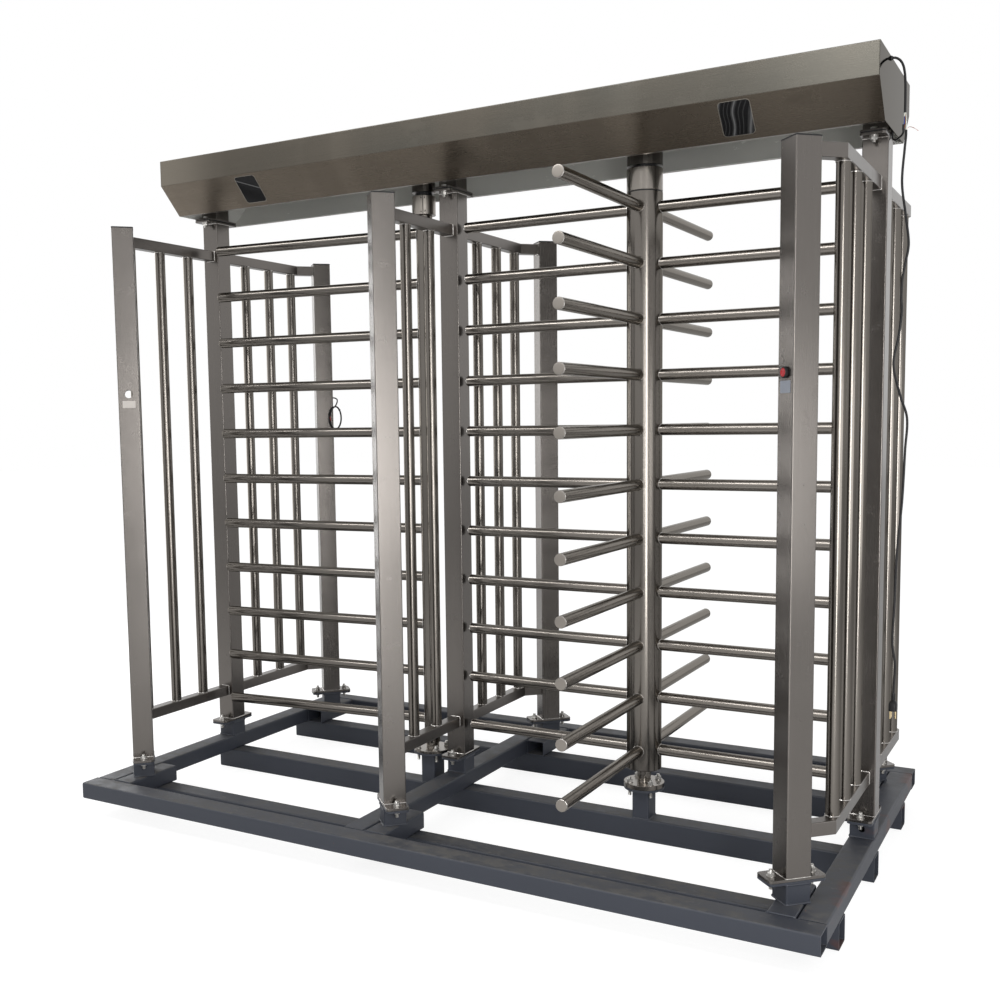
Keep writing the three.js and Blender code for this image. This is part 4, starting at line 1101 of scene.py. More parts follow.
def rail_rings(line, side, z):
    """Rings of a guard's rail at the mid post, at its bend and at the end post."""
    s = sizes()
    sign = SIDES[side]
    x = line_x(line)
    section = rounded(s.rail_size, s.rail_size, s.rail_corner)
    to_post = s.post_width / 2 + SEAT_GAP
    start = Vector((x, sign * to_post, z))
    bend = Vector((x, sign * s.guard_bend, z))
    post = middle_of(f"end_post_{side}_{line}")
    outwards = Vector((0, sign, 0))
    inwards = Vector((WINGS[line], sign, 0)).normalized()
    end = bend + inwards * ((Vector((post.x, post.y, z)) - bend).length - to_post)
    first = outwards.cross(UP)
    last = inwards.cross(UP)
    mitre = (first + last) / (1 + first.dot(last))
    return [[spot + across * u + UP * w for u, w in section]
            for spot, across in ((start, first), (bend, mitre), (end, last))]


def make_guards():
    """Six barred guards, each of two bent rails and a row of upright bars."""
    s = sizes()
    radius = s.bar_diameter / 2
    for side, sign in SIDES.items():
        for line in LINES:
            node = f"guard_panel_{side}_{line}"
            low, high = box_of(node)
            bottom = low.z + s.rail_size / 2
            top = high.z - s.rail_size / 2
            bm = bmesh.new()
            for z in (bottom, top):
                rings = rail_rings(line, side, z)
                skin(bm, rings)
                weld_along("steel", rings[0])
                weld_along("steel", rings[-1])
            piece(f"guard_rails_{side}_{line}", bm, "frame", "rail_steel", [node])
            foot = bottom + s.rail_size / 2 - SINK / 2
            head = top - s.rail_size / 2 + SINK / 2
            x = line_x(line)
            template = bmesh.new()
            lathe(template, at(x, sign * s.guard_bar_first),
                  rod_profile(radius, foot, head, 0.0002), s.bar_sides)
            row_of(f"guard_bars_{side}_{line}", template, s.guard_bars,
                   (0, sign * s.guard_bar_pitch, 0), "frame", "tube_steel")
            for i in range(s.guard_bars):
                bar = at(x, sign * (s.guard_bar_first + i * s.guard_bar_pitch))
                for z in (foot + 0.0006, head - 0.0006):
                    weld_along("steel", ring(circle(radius, 40), bar, z))


def arm_profile(start, end, radius):
    """Profile of an arm or gate bar: a tube with a fillet weld and a slightly domed cap."""
    return [(0, start), (radius, start), (radius, end - 0.0035), (radius - 0.0006, end - 0.003),
            (radius - 0.0006, end - 0.0026), (radius - 0.0003, end - 0.0022),
            (radius - 0.0012, end - 0.0008), (radius - 0.003, end - 0.0003),
            (radius * 0.5, end - 0.0001), (0, end)]


def saddle(angle, radius, bar_radius, centre, z):
    """The line where a level bar meets an upright column."""
    turn = Matrix.Rotation(angle, 3, "Z")
    points = []
    for across, rise in circle(bar_radius, 44):
        point = turn @ Vector((math.sqrt(radius ** 2 - across ** 2), across, rise))
        points.append(point + Vector((centre.x, centre.y, z)))
    return points


def column_profile(radius, foot, shoulder, neck, top, foot_edge, edge):
    """Profile of a column with eased ends and a thinner neck on its shoulder."""
    return [(0, foot), (radius - foot_edge, foot), (radius, foot + foot_edge),
            (radius, shoulder - edge), (radius - edge, shoulder), (neck, shoulder),
            (neck, top - 0.001), (neck - 0.001, top), (0, top)]


def make_bars(name, group, centre, radius, root, reach, angles, material, nodes):
    """The level bars of a column, at some angles in every tier, and their welds."""
    s = sizes()
    bar = s.bar_diameter / 2
    tiers = [middle_of(node).z for node in TIER_NODES]
    spot = Vector((centre.x, centre.y, tiers[0]))
    template = bmesh.new()
    for angle in angles:
        ahead = Vector((math.cos(angle), math.sin(angle), 0))
        lathe(template, aimed(spot, spot + ahead), arm_profile(root, reach, bar), s.bar_sides)
    row_of(name, template, len(tiers), (0, 0, tiers[1] - tiers[0]), group, material,
           nodes)
    for z in tiers:
        for angle in angles:
            weld_along(group, saddle(angle, radius, bar, centre, z))


def make_rotor():
    """Column, eleven tiers of four arms, collar and the dark ring under it."""
    s = sizes()
    centre = middle_of("rotor_foot_bearing")
    low, high = box_of("rotor_column")
    radius = (high.x - low.x) / 2
    column_top = box_of("rotor_clamp_collar")[0].z - SEAT_GAP
    ring_foot = column_top - s.joint_ring
    axis = at(centre.x, centre.y)
    bm = bmesh.new()
    lathe(bm, axis, column_profile(radius, low.z, ring_foot - 0.0002, 0.025, high.z, 0.002,
                                   0.0004), 96)
    piece("rotor_column_tube", bm, "rotor", "tube_steel", ["rotor_column"])
    make_bars("rotor_arms", "rotor", centre, radius, radius - 0.008, arm_reach(),
              [i * QUARTER for i in range(4)], "arm_steel", TIER_NODES)
    make_collar("rotor", centre, radius)
    joint = bmesh.new()
    bore, rim = 0.0262, radius - 0.0012
    lathe(joint, axis, [(bore, ring_foot), (rim, ring_foot), (rim, column_top),
                        (bore, column_top)], 96, loop=True)
    piece("rotor_joint_ring", joint, "rotor", "black_plastic")


# Clamp collars: bore, angle of the slit, radius of the screws' recesses, slot, materials of the
# collar and of its screws, and each screw's angle from the slit and share of the height
COLLARS = {
    "rotor": (0.0253, 192, 0.0035, "tube_steel", "turned_steel", "turned_steel",
              ((42, 0.12), (42, 0.88))),
    # The gate's screws are black, as painted shade in their recesses.
    "gate": (0.0203, -63.5, 0.0026, "bearing_steel", "collar_steel", "black_plastic",
             ((-9, 0.86), (9, 0.87), (-9, 0.14), (10, 0.16))),
}


def make_collar(group, centre, radius):
    """A split clamp collar with sunk screws near its slit."""
    bore, slit_angle, recess, slot, material, screw_material, spots = COLLARS[group]
    low, high = box_of(f"{group}_clamp_collar")
    foot, top = low.z, high.z
    edge = 0.0012
    bm = bmesh.new()
    lathe(bm, at(centre.x, centre.y), [
        (bore, foot), (radius - edge, foot), (radius, foot + edge), (radius, top - edge),
        (radius - edge, top), (bore, top)], 96, loop=True)
    obj = mesh_object(f"{group}_collar_ring", bm)
    cutter = bmesh.new()
    slit = at(centre.x, centre.y, 0, math.radians(slit_angle)) @ at(radius)
    slab(cutter, slit, radius * 1.5, 0.0022, 0.0005, foot - 0.01, top + 0.01, 0.0002)
    screws = bmesh.new()
    for offset, share in spots:
        angle = math.radians(slit_angle + offset)
        out = Vector((math.cos(angle), math.sin(angle), 0))
        middle = Vector((centre.x, centre.y, foot + (top - foot) * share))
        hole = aimed(middle + out * (radius - 0.005), middle + out)
        lathe(cutter, hole, rod_profile(recess, 0, 0.02, 0.0002), 28)
        lathe(screws, hole, [(0, 0.0002), (recess - 0.0004, 0.0002), (recess - 0.0004, 0.0028),
                             (recess - 0.0009, 0.0034), (recess * 0.5, 0.0034),
                             (recess * 0.45, 0.0012), (0, 0.0012)], 24)
    settle(carved(obj, cutter), group, material, [f"{group}_clamp_collar"])
    piece(f"{group}_collar_screws", screws, group, screw_material)


# The gate's column and collar, and how far the gate stands open at rest
GATE_COLUMN_RADIUS = 0.0305
GATE_COLLAR_RADIUS = 0.044
GATE_AJAR = math.radians(5)


def make_gate():
    """Gate leaf: a pivot column, eleven bars and the collar."""
    s = sizes()
    centre = middle_of("gate_foot_bearing")
    low, high = box_of("gate_leaf")
    radius = GATE_COLUMN_RADIUS
    column_top = box_of("gate_clamp_collar")[0].z - SEAT_GAP
    bm = bmesh.new()
    lathe(bm, at(centre.x, centre.y),
          column_profile(radius, low.z, column_top, 0.020, high.z, 0.0015, 0.001), 64)
    piece("gate_column_tube", bm, "gate", "tube_steel")
    reach = (centre.x - low.x - s.bar_diameter / 2 * math.sin(GATE_AJAR)) / math.cos(GATE_AJAR)
    make_bars("gate_bars", "gate", centre, radius, radius - 0.006, reach,
              [math.pi + GATE_AJAR], "tube_steel", ["gate_leaf"])
    make_collar("gate", centre, GATE_COLLAR_RADIUS)


# Flanges under the columns: radius, thickness, radius of the pin and of the ring of bolts
FLANGES = {"rotor": (0.070, 0.016, 0.024, 0.054), "gate": (0.0725, 0.010, 0.025, 0.0565)}


def make_foot_bearings():
    """Bolted flanges with the fixed pins that the columns turn on."""
    for group, (flange, thickness, pin, _) in FLANGES.items():
        node = f"{group}_foot_bearing"
        low, high = box_of(node)
        centre = middle_of(node)
        top = low.z + thickness
        bm = bmesh.new()
        lathe(bm, at(centre.x, centre.y), [
            (0, low.z), (flange - 0.001, low.z), (flange, low.z + 0.001), (flange, top - 0.0012),
            (flange - 0.0012, top), (pin + 0.003, top), (pin + 0.0005, top + 0.001),
            (pin, top + 0.003), (pin, high.z - 0.002), (pin - 0.002, high.z), (0, high.z)], 72)
        piece(f"{group}_foot_flange", bm, "frame", "turned_steel", [node])


def plate_bolt_spots(post, z):
    reach = sizes().bolt_reach
    return [post @ Vector((0, side * reach, z)) for side in (-1, 1)]


# Heights of a nut's foot and top over the plate that its washer lies on
NUT_SEAT = 0.002
NUT_TOP = 0.0115


def bolt_through(matrix, washer, stud_top, tail_foot):
    """A washer of some radius, a nut and the threaded bolt through them, on a plate at 0."""
    s = sizes()
    bm = bmesh.new()
    lathe(bm, matrix, [(0, 0), (washer, 0), (washer, 0.0018), (0.006, 0.0022), (0, 0.0022)], 32)
    hexagon(bm, matrix, s.bolt_diameter * 1.5, NUT_SEAT, NUT_TOP)
    lathe(bm, matrix, thread_profile(s.bolt_diameter / 2, tail_foot, stud_top), 16)
    return bm


def make_fasteners():
    """Bolts of the foot plates, of the hanger plates and of the bearing flanges."""
    s = sizes()
    nut = s.bolt_diameter * 1.5
    _, painted_foot, foot = plate_heights()
    top = foot + s.plate_thickness
    spots = [spot for post in post_frames().values() for spot in plate_bolt_spots(post, top)]
    fasteners("foot_plate_bolts", spots,
              bolt_through(at(), 0.0125, 0.0195, painted_foot - top - 0.021))
    under = bmesh.new()
    for spot in spots:
        hexagon(under, at(spot.x, spot.y), nut, painted_foot - 0.0088, painted_foot - 0.0002)
    piece("foot_plate_under_nuts", under, "frame", "zinc_plate")

    hanger_top = box_of("mid_post_left")[1].z - s.plate_thickness
    spots = [spot for line in LINES for spot in plate_bolt_spots(at(line_x(line)), hanger_top)]
    template = bolt_through(Matrix.Rotation(math.pi, 4, "X"), 0.0125, 0.0195, -0.026)
    hexagon(template, at(), nut, 0.0172, 0.0258)
    fasteners("hanger_bolts", spots, template, seed=8)

    spots = []
    for group, (_, thickness, _, radius) in FLANGES.items():
        centre = middle_of(f"{group}_foot_bearing")
        z = box_of(f"{group}_foot_bearing")[0].z + thickness
        for angle in ((i + 0.5) * QUARTER for i in range(4)):
            spots.append(Vector((centre.x + radius * math.cos(angle),
                                 centre.y + radius * math.sin(angle), z)))
    fasteners("flange_bolts", spots, bolt_through(at(), 0.0118, 0.0185, -0.046), seed=5)


# The header's sheet and its section: height of the waist, half width at the foot, width of the
# foot lips, and how far the slopes step in and how far they rise
SHEET = 0.002
WAIST = 2.412
FOOT_HALF = 0.162
LIP = 0.015
SLOPE_STEP = 0.098
SLOPE_RISE = 0.103


def header_section(inset):
    """Outline of the header's section as points of y and z, from the front lip to the rear lip."""
    low, high = box_of("header_casing")
    half = high.y - inset
    foot = low.z + inset
    front = [(LIP - FOOT_HALF, foot), (inset * 0.43 - FOOT_HALF, foot),
             (-half, WAIST - inset * 0.37), (-half, high.z - inset)]
    return front + [(-y, z) for y, z in reversed(front)]


def filleted(points, radius, steps=4):
    """An open line of points with its inner corners rounded."""
    result = [Vector(points[0])]
    for before, corner, after in zip(points, points[1:], points[2:]):
        before, corner, after = Vector(before), Vector(corner), Vector(after)
        back = (before - corner).normalized()
        ahead = (after - corner).normalized()
        half = math.acos(max(-1, min(1, back.dot(ahead)))) / 2
        reach = min(radius / math.tan(half), (before - corner).length / 2)
        for i in range(steps + 1):
            t = i / steps
            p, q = corner + back * reach, corner + ahead * reach
            result.append(p * (1 - t) ** 2 + corner * 2 * t * (1 - t) + q * t ** 2)
    result.append(Vector(points[-1]))
    return result


# The indicator windows: width, height and corner of the glass, and how far up the slope they are
WINDOW_WIDTH = 0.097
WINDOW_HEIGHT = 0.115
WINDOW_CORNER = 0.012
WINDOW_SHARE = 0.525


def window_frames():
    """Frames of the windows: X along the header, Y up the slope, Z out of it."""
    along = Vector((1, 0, 0))
    up = Vector((0, -SLOPE_STEP, SLOPE_RISE)).normalized()
    foot = box_of("header_casing")[0].z
    return [framed(along, up, along.cross(up), (
        middle_of(f"indicator_window_{side}").x, -FOOT_HALF - SLOPE_STEP * WINDOW_SHARE,
        foot + SLOPE_RISE * WINDOW_SHARE)) for side in ("left", "right")]


def window_slab(bm, window, grow, corner, foot, top, edge):
    """A plate with the outline of a window, a little wider."""
    slab(bm, window, WINDOW_WIDTH + grow, WINDOW_HEIGHT + grow, corner, foot, top, edge)


def make_header():
    """Folded casing with end plates, windows and the frame inside it."""
    low, high = box_of("header_casing")
    section = header_section(0)
    outer = filleted(section, 0.003)
    inner = filleted(header_section(SHEET), 0.0012)
    loop = [*outer, *reversed(inner)]
    bm = bmesh.new()
    skin(bm, [[Vector((x, y, z)) for y, z in loop] for x in (low.x + 0.0002, high.x - 0.0002)])
    casing = mesh_object("header_sheet", bm)
    cutter = bmesh.new()
    for window in window_frames():
        window_slab(cutter, window, 0.0008, WINDOW_CORNER + 0.0005, -0.006, 0.006, 0.0002)
    settle(carved(casing, cutter), "frame", "casing_steel", ["header_casing"])

    ends = bmesh.new()
    foot, heart = (0, low.z), 2.41
    outline = filleted([foot, *section[1:-1], foot], 0.0028)[1:-1]
    eased = [(y * 0.998, heart + (z - heart) * 0.996) for y, z in outline]
    for x, sign in ((low.x, 1), (high.x, -1)):
        skin(ends, [[Vector((x + sign * depth, y, z)) for y, z in points]
                    for points, depth in ((eased, 0), (outline, 0.0008), (outline, SHEET))])
    piece("header_end_plates", ends, "frame", "end_plate_steel")

    glass, rims = bmesh.new(), bmesh.new()
    for window in window_frames():
        window_slab(glass, window, 0.0, WINDOW_CORNER, -0.0055, 0.0005, 0.0006)
        wide, narrow = (rounded(WINDOW_WIDTH + grow, WINDOW_HEIGHT + grow, WINDOW_CORNER + grow / 2)
                        for grow in (0.0024, -0.0016))
        skin(rims, [ring(wide, window, -0.0005), ring(wide, window, 0.0008),
                    ring(narrow, window, 0.0009), ring(narrow, window, -0.0005)], loop=True)
    piece("indicator_rims", rims, "frame", "window_rim")
    piece("indicator_glass", glass, "frame", "window_gloss",
          ["indicator_window_left", "indicator_window_right"])
    make_header_frame()


# The beam in the header
BEAM_WIDTH = 0.1
BEAM_HEIGHT = 0.06
BEAM_CORNER = 0.006
BEAM_WALL = 0.003


def make_header_frame():
    """The beam in the header and the stubs that hang from it, on gaskets."""
    s = sizes()
    low, high = box_of("header_frame")
    casing_foot = box_of("header_casing")[0].z
    beam_foot = high.z - BEAM_HEIGHT
    z = high.z - BEAM_HEIGHT / 2
    plate_foot = casing_foot - s.plate_thickness
    bm, gaskets = bmesh.new(), bmesh.new()
    box_tube(bm, aimed((low.x, 0, z), (high.x, 0, z)), high.x - low.x, BEAM_WIDTH, BEAM_HEIGHT,
             BEAM_CORNER, BEAM_WALL)
    for line in LINES:
        post = at(line_x(line))
        square_tube(bm, post, casing_foot - SINK, beam_foot + SINK, s.post_corner)
        slab(bm, post, s.post_width, s.plate_length, s.plate_corner, plate_foot + s.gasket,
             casing_foot)
        slab(gaskets, post, s.post_width - 0.002, s.plate_length - 0.002, s.plate_corner,
             plate_foot + 0.0001, plate_foot + s.gasket - 0.0001, 0.0002)
        weld_round("dark", post, casing_foot + 0.0005, beam_foot - 0.0005)
    piece("header_beam_and_stubs", bm, "frame", "hanger_steel", ["header_frame"])
    piece("hanger_gaskets", gaskets, "frame", "black_plastic")


# The bare label plates under the button and under the empty hole: width and height by line
LABELS = {"right": (0.050, 0.033), "left": (0.046, 0.026)}
LABEL_HEIGHT = 1.547


def make_button():
    """Push button in its bezel, and the bare label plates."""
    post = end_post_frame("front", "right")
    z = middle_of("push_button").z
    out = aimed(post @ Vector((0, -0.0383, z)), post @ Vector((0, -1, z)))
    bezel = bmesh.new()
    lathe(bezel, out, [
        (0.0078, -0.026), (0.0078, 0.0), (0.0148, 0.0), (0.0155, 0.0012), (0.0155, 0.0062),
        (0.0150, 0.0080), (0.0141, 0.0086), (0.0127, 0.0086), (0.0122, 0.0081), (0.0121, 0.002),
        (0.0052, 0.002), (0.0052, -0.026)], 56, loop=True)
    piece("button_ring", bezel, "frame", "black_plastic", ["button_bezel"])
    cap = bmesh.new()
    lathe(cap, out, [
        (0, -0.0115), (0.0046, -0.0115), (0.0046, 0.0066), (0.0114, 0.0066), (0.0118, 0.0070),
        (0.0118, 0.0082), (0.0113, 0.0090), (0.0102, 0.0093), (0.0088, 0.0089),
        (0.0052, 0.0086), (0, 0.0085)], 56)
    piece("button_cap", cap, "button", "red_plastic", ["push_button"])
    labels = bmesh.new()
    for line, (width, height) in LABELS.items():
        post = end_post_frame("front", line)
        face = aimed(post @ Vector((0, -sizes().post_width / 2, LABEL_HEIGHT)),
                     post @ Vector((0, -1, LABEL_HEIGHT)))
        slab(labels, face, width, height, 0.002, 0.0, 0.0008, 0.0003)
    piece("bare_labels", labels, "frame", "label_plate")


# Runs of the cords, as in the part's source: out from the header's end face, drop from its top
# and, where it isn't the usual one, the distance to the front
LEAD_FRONT = 0.09
UPPER_RUN = [(-0.016, 0.008), (0.002, 0.008), (0.012, 0.0085), (0.024, 0.016), (0.033, 0.030),
             (0.0385, 0.052), (0.041, 0.080), (0.042, 0.126), (0.042, 0.1677)]
SPLICE_RUN = [(0.0385, 0.2166), (0.0385, 0.221, 0.0895), (0.034, 0.226, 0.080),
              (0.022, 0.228, 0.057), (0.006, 0.226, 0.022), (-0.0052, 0.216, 0.003),
              (-0.006, 0.190, 0.0), (-0.006, 0.168, 0.0)]
LOWER_RUN = [(0.046, 0.2163), (0.046, 0.232), (0.043, 0.271), (0.038, 0.366), (0.050, 0.459),
             (0.060, 0.545), (0.052, 0.596), (0.045, 0.639), (0.043, 0.691), (0.045, 0.737),
             (0.038, 0.807), (0.025, 0.888), (0.046, 0.982), (0.066, 1.046), (0.063, 1.144),
             (0.058, 1.292), (0.047, 1.441), (0.043, 1.592), (0.040, 1.735), (0.048, 1.790),
             (0.046, 1.858), (0.0455, 1.8797)]


def hanging(run):
    """The knots of a run of the mains lead, in the part's frame."""
    high = box_of("header_casing")[1]
    return [Vector((high.x + out, -(front[0] if front else LEAD_FRONT), high.z - drop))
            for out, drop, *front in run]


def make_cord(name, knots, diameter, sides, nodes, step=0.006, **facts):
    """A cord swept through knots, as a piece of the frame."""
    points = run_through(knots, step)
    bm = bmesh.new()
    swept(bm, points, diameter / 2, sides)
    obj = piece(name, bm, "frame", "cord_sheath", nodes)
    path_length(points)
    return obj


def make_splice():
    """The bare cores between the two halves of the lead, in place of the splice's solid."""
    low, high = box_of("cord_splice")
    centre = (low + high) / 2
    cores = []
    ends = {
        "core_white": [(0.0015, 0.002, high.z), (0.003, 0.002, high.z - 0.012),
                       (0.0045, 0.001, low.z + 0.014), (0.004, 0, low.z)],
        "core_blue": [(-0.001, 0.0, high.z), (-0.0005, 0.0, high.z - 0.013),
                      (-0.0025, 0.0, low.z + 0.012), (-0.0035, 0, low.z)],
        "core_brown": [(0.001, -0.002, high.z), (0.0015, -0.0015, high.z - 0.013),
                       (0.0, -0.001, low.z + 0.012), (-0.0025, -0.0015, low.z)],
    }
    for name, knots in ends.items():
        bm = bmesh.new()
        path = run_through([(centre.x + x, centre.y + y, z) for x, y, z in knots], 0.002)
        swept(bm, path, 0.0013, 12)
        nodes = []
        if name == "core_white":
            nodes = ["cord_splice"]
            lathe(bm, at(centre.x, centre.y), [
                (0, high.z - 0.010), (0.0030, high.z - 0.010), (0.0034, high.z - 0.004),
                (0.0036, high.z), (0, high.z)], 24)
        cores.append(piece(name + "_strand", bm, "frame", name, nodes))
    sleeve = bmesh.new()
    path = run_through([(centre.x - out, centre.y, low.z + rise) for out, rise in (
        (0.0030, 0.016), (0.0035, 0.004), (0.0035, 0))], 0.002)
    swept(sleeve, path, 0.0036, 16)
    cores.append(piece("splice_sleeve", sleeve, "frame", "cord_sheath"))
    strands = bmesh.new()
    start = Vector((centre.x + 0.004, centre.y, low.z + 0.002))
    for k in range(-2, 3):
        sway = 0.0006 * k
        knots = [start + Vector(step) for step in (
            (0, 0, 0), (0.008, sway, 0.005), (0.020, sway * 3, 0.001),
            (0.033, sway * 5, -0.009 + sway))]
        swept(strands, run_through(knots, 0.003), 0.00035, 6)
    cores.append(piece("stray_strands", strands, "frame", "copper"))
    return cores


def make_plug():
    """Moulded plug with a ribbed neck, shoulders and three pins."""
    low, high = box_of("mains_plug")
    top = high.z
    x, y = (low.x + high.x) / 2, (low.y + high.y) / 2
    stages = [(0.0, 0.0090, 0.0090, 0.0044), (0.002, 0.0105, 0.0105, 0.0052)]
    for i in range(5):
        rib = 0.004 + i * 0.0036
        stages += [(rib + drop, width, width, corner) for drop, width, corner in (
            (0, 0.0118, 0.0058), (0.0013, 0.0118, 0.0058), (0.0016, 0.0100, 0.0049),
            (0.0033, 0.0100, 0.0049))]
    stages += [(0.0225, 0.013, 0.013, 0.006), (0.026, 0.0185, 0.021, 0.007),
               (0.030, 0.0225, 0.029, 0.008), (0.034, 0.0238, 0.0318, 0.008),
               (0.050, 0.024, 0.032, 0.008), (0.0535, 0.0232, 0.0312, 0.0075),
               (0.054, 0.0222, 0.0302, 0.007)]
    bm = bmesh.new()
    skin(bm, [ring(rounded(depth, width, corner, 5), at(x, y), top - drop)
              for drop, depth, width, corner in reversed(stages)])
    body = piece("plug_body", bm, "frame", "black_plastic", ["mains_plug"])
    pins = bmesh.new()
    for ahead, across in ((0.007, 0), (-0.007, -0.010), (-0.007, 0.010)):
        lathe(pins, at(x + ahead, y + across), [
            (0, low.z), (0.0014, low.z + 0.0002), (0.0024, low.z + 0.0016),
            (0.0025, top - 0.050), (0, top - 0.050)], 20)
    return [body, piece("plug_pins", pins, "frame", "brass")]


def make_gland():
    """Grommet that the mains lead comes out of."""
    spot = middle_of("cable_gland")
    spot.x = box_of("cable_gland")[0].x
    start = box_of("header_casing")[1].x - spot.x + SEAT_GAP
    bm = bmesh.new()
    lathe(bm, aimed(spot, spot + Vector((1, 0, 0))), [
        (0.0042, 0), (0.0049, 0), (0.0049, start), (0.0068, start), (0.0070, start + 0.001),
        (0.0066, start + 0.0026), (0.0052, start + 0.0046), (0.0046, start + 0.006),
        (0.0042, start + 0.006)], 36, loop=True)
    piece("cord_grommet", bm, "frame", "black_plastic", ["cable_gland"])


def make_cords():
    """The mains lead with its splice and plug, and the spare lead."""
    s = sizes()
    make_gland()
    cores = make_splice()
    make_cord("cord_upper_run", hanging(UPPER_RUN), s.cord_diameter, 20, ["cord_upper"],
              far_end="fitting", stiffness="medium", lay="hanging", with_pieces=cores)
    make_cord("splice_lead_run", hanging(SPLICE_RUN), s.lead_diameter, 16, ["splice_lead"],
              step=0.004, far_end="object", stiffness="limp", lay="loose")
    plug = make_plug()
    make_cord("cord_lower_run", hanging(LOWER_RUN), s.cord_diameter, 20, ["cord_lower"],
              far_end="plug", stiffness="medium", lay="hanging", with_pieces=plug)
    make_spare_lead()


def make_spare_lead():
    """A thin lead that leaves the left rear end post and is tied in a loop."""
    s = sizes()
    post = end_post_frame("rear", "left")
    face, top = s.post_width / 2, middle_of("push_button").z

    def place(across, out, drop):
        return post @ Vector((across, face + out, top - drop))

    turns, steps = 2.125, 24
    knots = [place(0, -0.016, 0), place(0, 0.004, 0), place(0.008, 0.017, 0.003),
             place(0.027, 0.021, 0.012), place(0.043, 0.015, 0.028)]
    for i in range(round(turns * steps) + 1):
        turn = i / steps
        angle = 2 * math.pi * turn
        knots.append(place(face + 0.012 + 0.0073 * turn,
                           0.032 - (0.027 - 0.001 * turn) * (1 + math.sin(angle)),
                           0.093 - 0.051 * math.cos(angle)))
    knots += [place(0.0655, -0.017, 0.072), place(0.0665, -0.019, 0.088)]
    tie = bmesh.new()
    wrap = [place(0.0600 + across, 0.0245 + lift * 0.93, 0.0565 - lift * 0.36)
            for (across, _), (_, lift) in zip(circle(0.0083, 24), circle(0.0046, 24))]
    swept(tie, wrap, 0.0011, 8, closed=True)
    tie_piece = piece("lead_tie", tie, "frame", "black_plastic")
    core = bmesh.new()
    core_knots = [knots[-1] + Vector(step) for step in (
        (0, 0, 0), (0.0005, 0, -0.008), (0.002, 0.002, -0.016))]
    swept(core, run_through(core_knots, 0.003), 0.0016, 10)
    core_piece = piece("lead_core", core, "frame", "core_red")
    make_cord("spare_lead_loop", knots, s.lead_diameter, 16, ["spare_lead"], step=0.004,
              far_end="bare", stiffness="limp", lay="coiled", with_pieces=[tie_piece, core_piece])


# Solids that stay as they are, by their material
GEAR = {
    "housing_steel": ("rotor_bearing_housing", "gate_bearing_housing"),
    "dark_steel": ("rotor_shaft", "gate_shaft"),
    "zinc_plate": ("rotor_lock_pawl_a", "rotor_lock_pawl_b"),
    "box_paint": ("control_box",),
}


def dress_hidden_gear():
    """Materials of the housings, shafts, pawls and control box, whose solids stay."""
    for material, nodes in GEAR.items():
        for node in nodes:
            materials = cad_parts[node].data.materials
            materials.clear()
            materials.append(finish_named(material))


def make_all_welds():
    """Weld beads along all the paths that the pieces noted."""
    s = sizes()
    for name, kind, radius, body, slot, material in (
            ("base", "paint", s.paint_weld_radius, "frame", "base_paint", "base_paint"),
            ("post", "steel", s.weld_radius, "frame", "post_steel", "weld_steel"),
            ("hanger", "dark", s.weld_radius, "frame", "frame_steel", "hanger_steel"),
            ("rotor", "rotor", s.weld_radius, "rotor", "tube_steel", "weld_steel"),
            ("gate", "gate", s.weld_radius, "gate", "tube_steel", "weld_steel")):
        make_welds(name + "_weld_beads", kind, radius, body, material)


# Stage


# The view: a plain lens fitted to the frame, its small shift, its place and two of its axes
VIEW_LENS = 40.8587
VIEW_SHIFT = (0.03763, 0.02865)
VIEW_SPOT = (1.95938513, -3.67339205, 1.46799964)
VIEW_RIGHT = Vector((0.86773733, 0.49683101, -0.0138155))
VIEW_UP = Vector((-0.03484878, 0.08854599, 0.99546229))
# The lamps: place, aim, width and height, and power
LAMPS = {
    "window": ((2.9, -6.9, 1.4), (0.4, 0, 1.3), (0.7, 2.1), 30),
    "door": ((2.75, -3.36, 1.3), (0.57, 0, 1.3), (0.6, 2.4), 54),
    "right_wall": ((4.3, -3.0, 1.12), (0.2, -0.3, 1.25), (3.7, 1.3), 39),
    "roof_row": ((-1.2, -3.7, 4.7), (-0.4, 0, 1.4), (5.0, 0.7), 120),
    "fascia_glow": ((0.2, -6.3, 4.4), (0.9, 0, 2.4), (1.2, 1.0), 8),
    "left_wall": ((-4.7, 0.8, 1.5), (0, 0, 1.3), (3.0, 2.6), 75),
}
# Light of the world on the part, where the background behind it has 1, the floor's colour,
# the glow that lets it meet the background, and that glow's share for the camera
WORLD_LIGHT = 0.65
FLOOR_COLOUR = (0.86, 0.86, 0.86)
FLOOR_GLOW = 1.28
FLOOR_GLOW_SHARE = 0.66


def make_camera():
    """The camera at the photograph's viewing angle."""
    data = bpy.data.cameras.new("view")
    data.sensor_width = 36
    data.lens = VIEW_LENS
    data.shift_x, data.shift_y = VIEW_SHIFT
    data.clip_end = 200
    cam = linked("view", data)
    cam.matrix_world = framed(VIEW_RIGHT, VIEW_UP, VIEW_RIGHT.cross(VIEW_UP), VIEW_SPOT)
    bpy.context.scene.camera = cam


def area_light(name, spot, target, size, power):
    """A soft lamp that the camera doesn't see."""
    data = bpy.data.lights.new(name, "AREA")
    data.shape = "RECTANGLE"
    data.size, data.size_y = size
    data.energy = power
    obj = linked(name, data)
    obj.location = spot
    obj.visible_camera = False
    obj.rotation_euler = (Vector(target) - Vector(spot)).to_track_quat("-Z", "Y").to_euler()


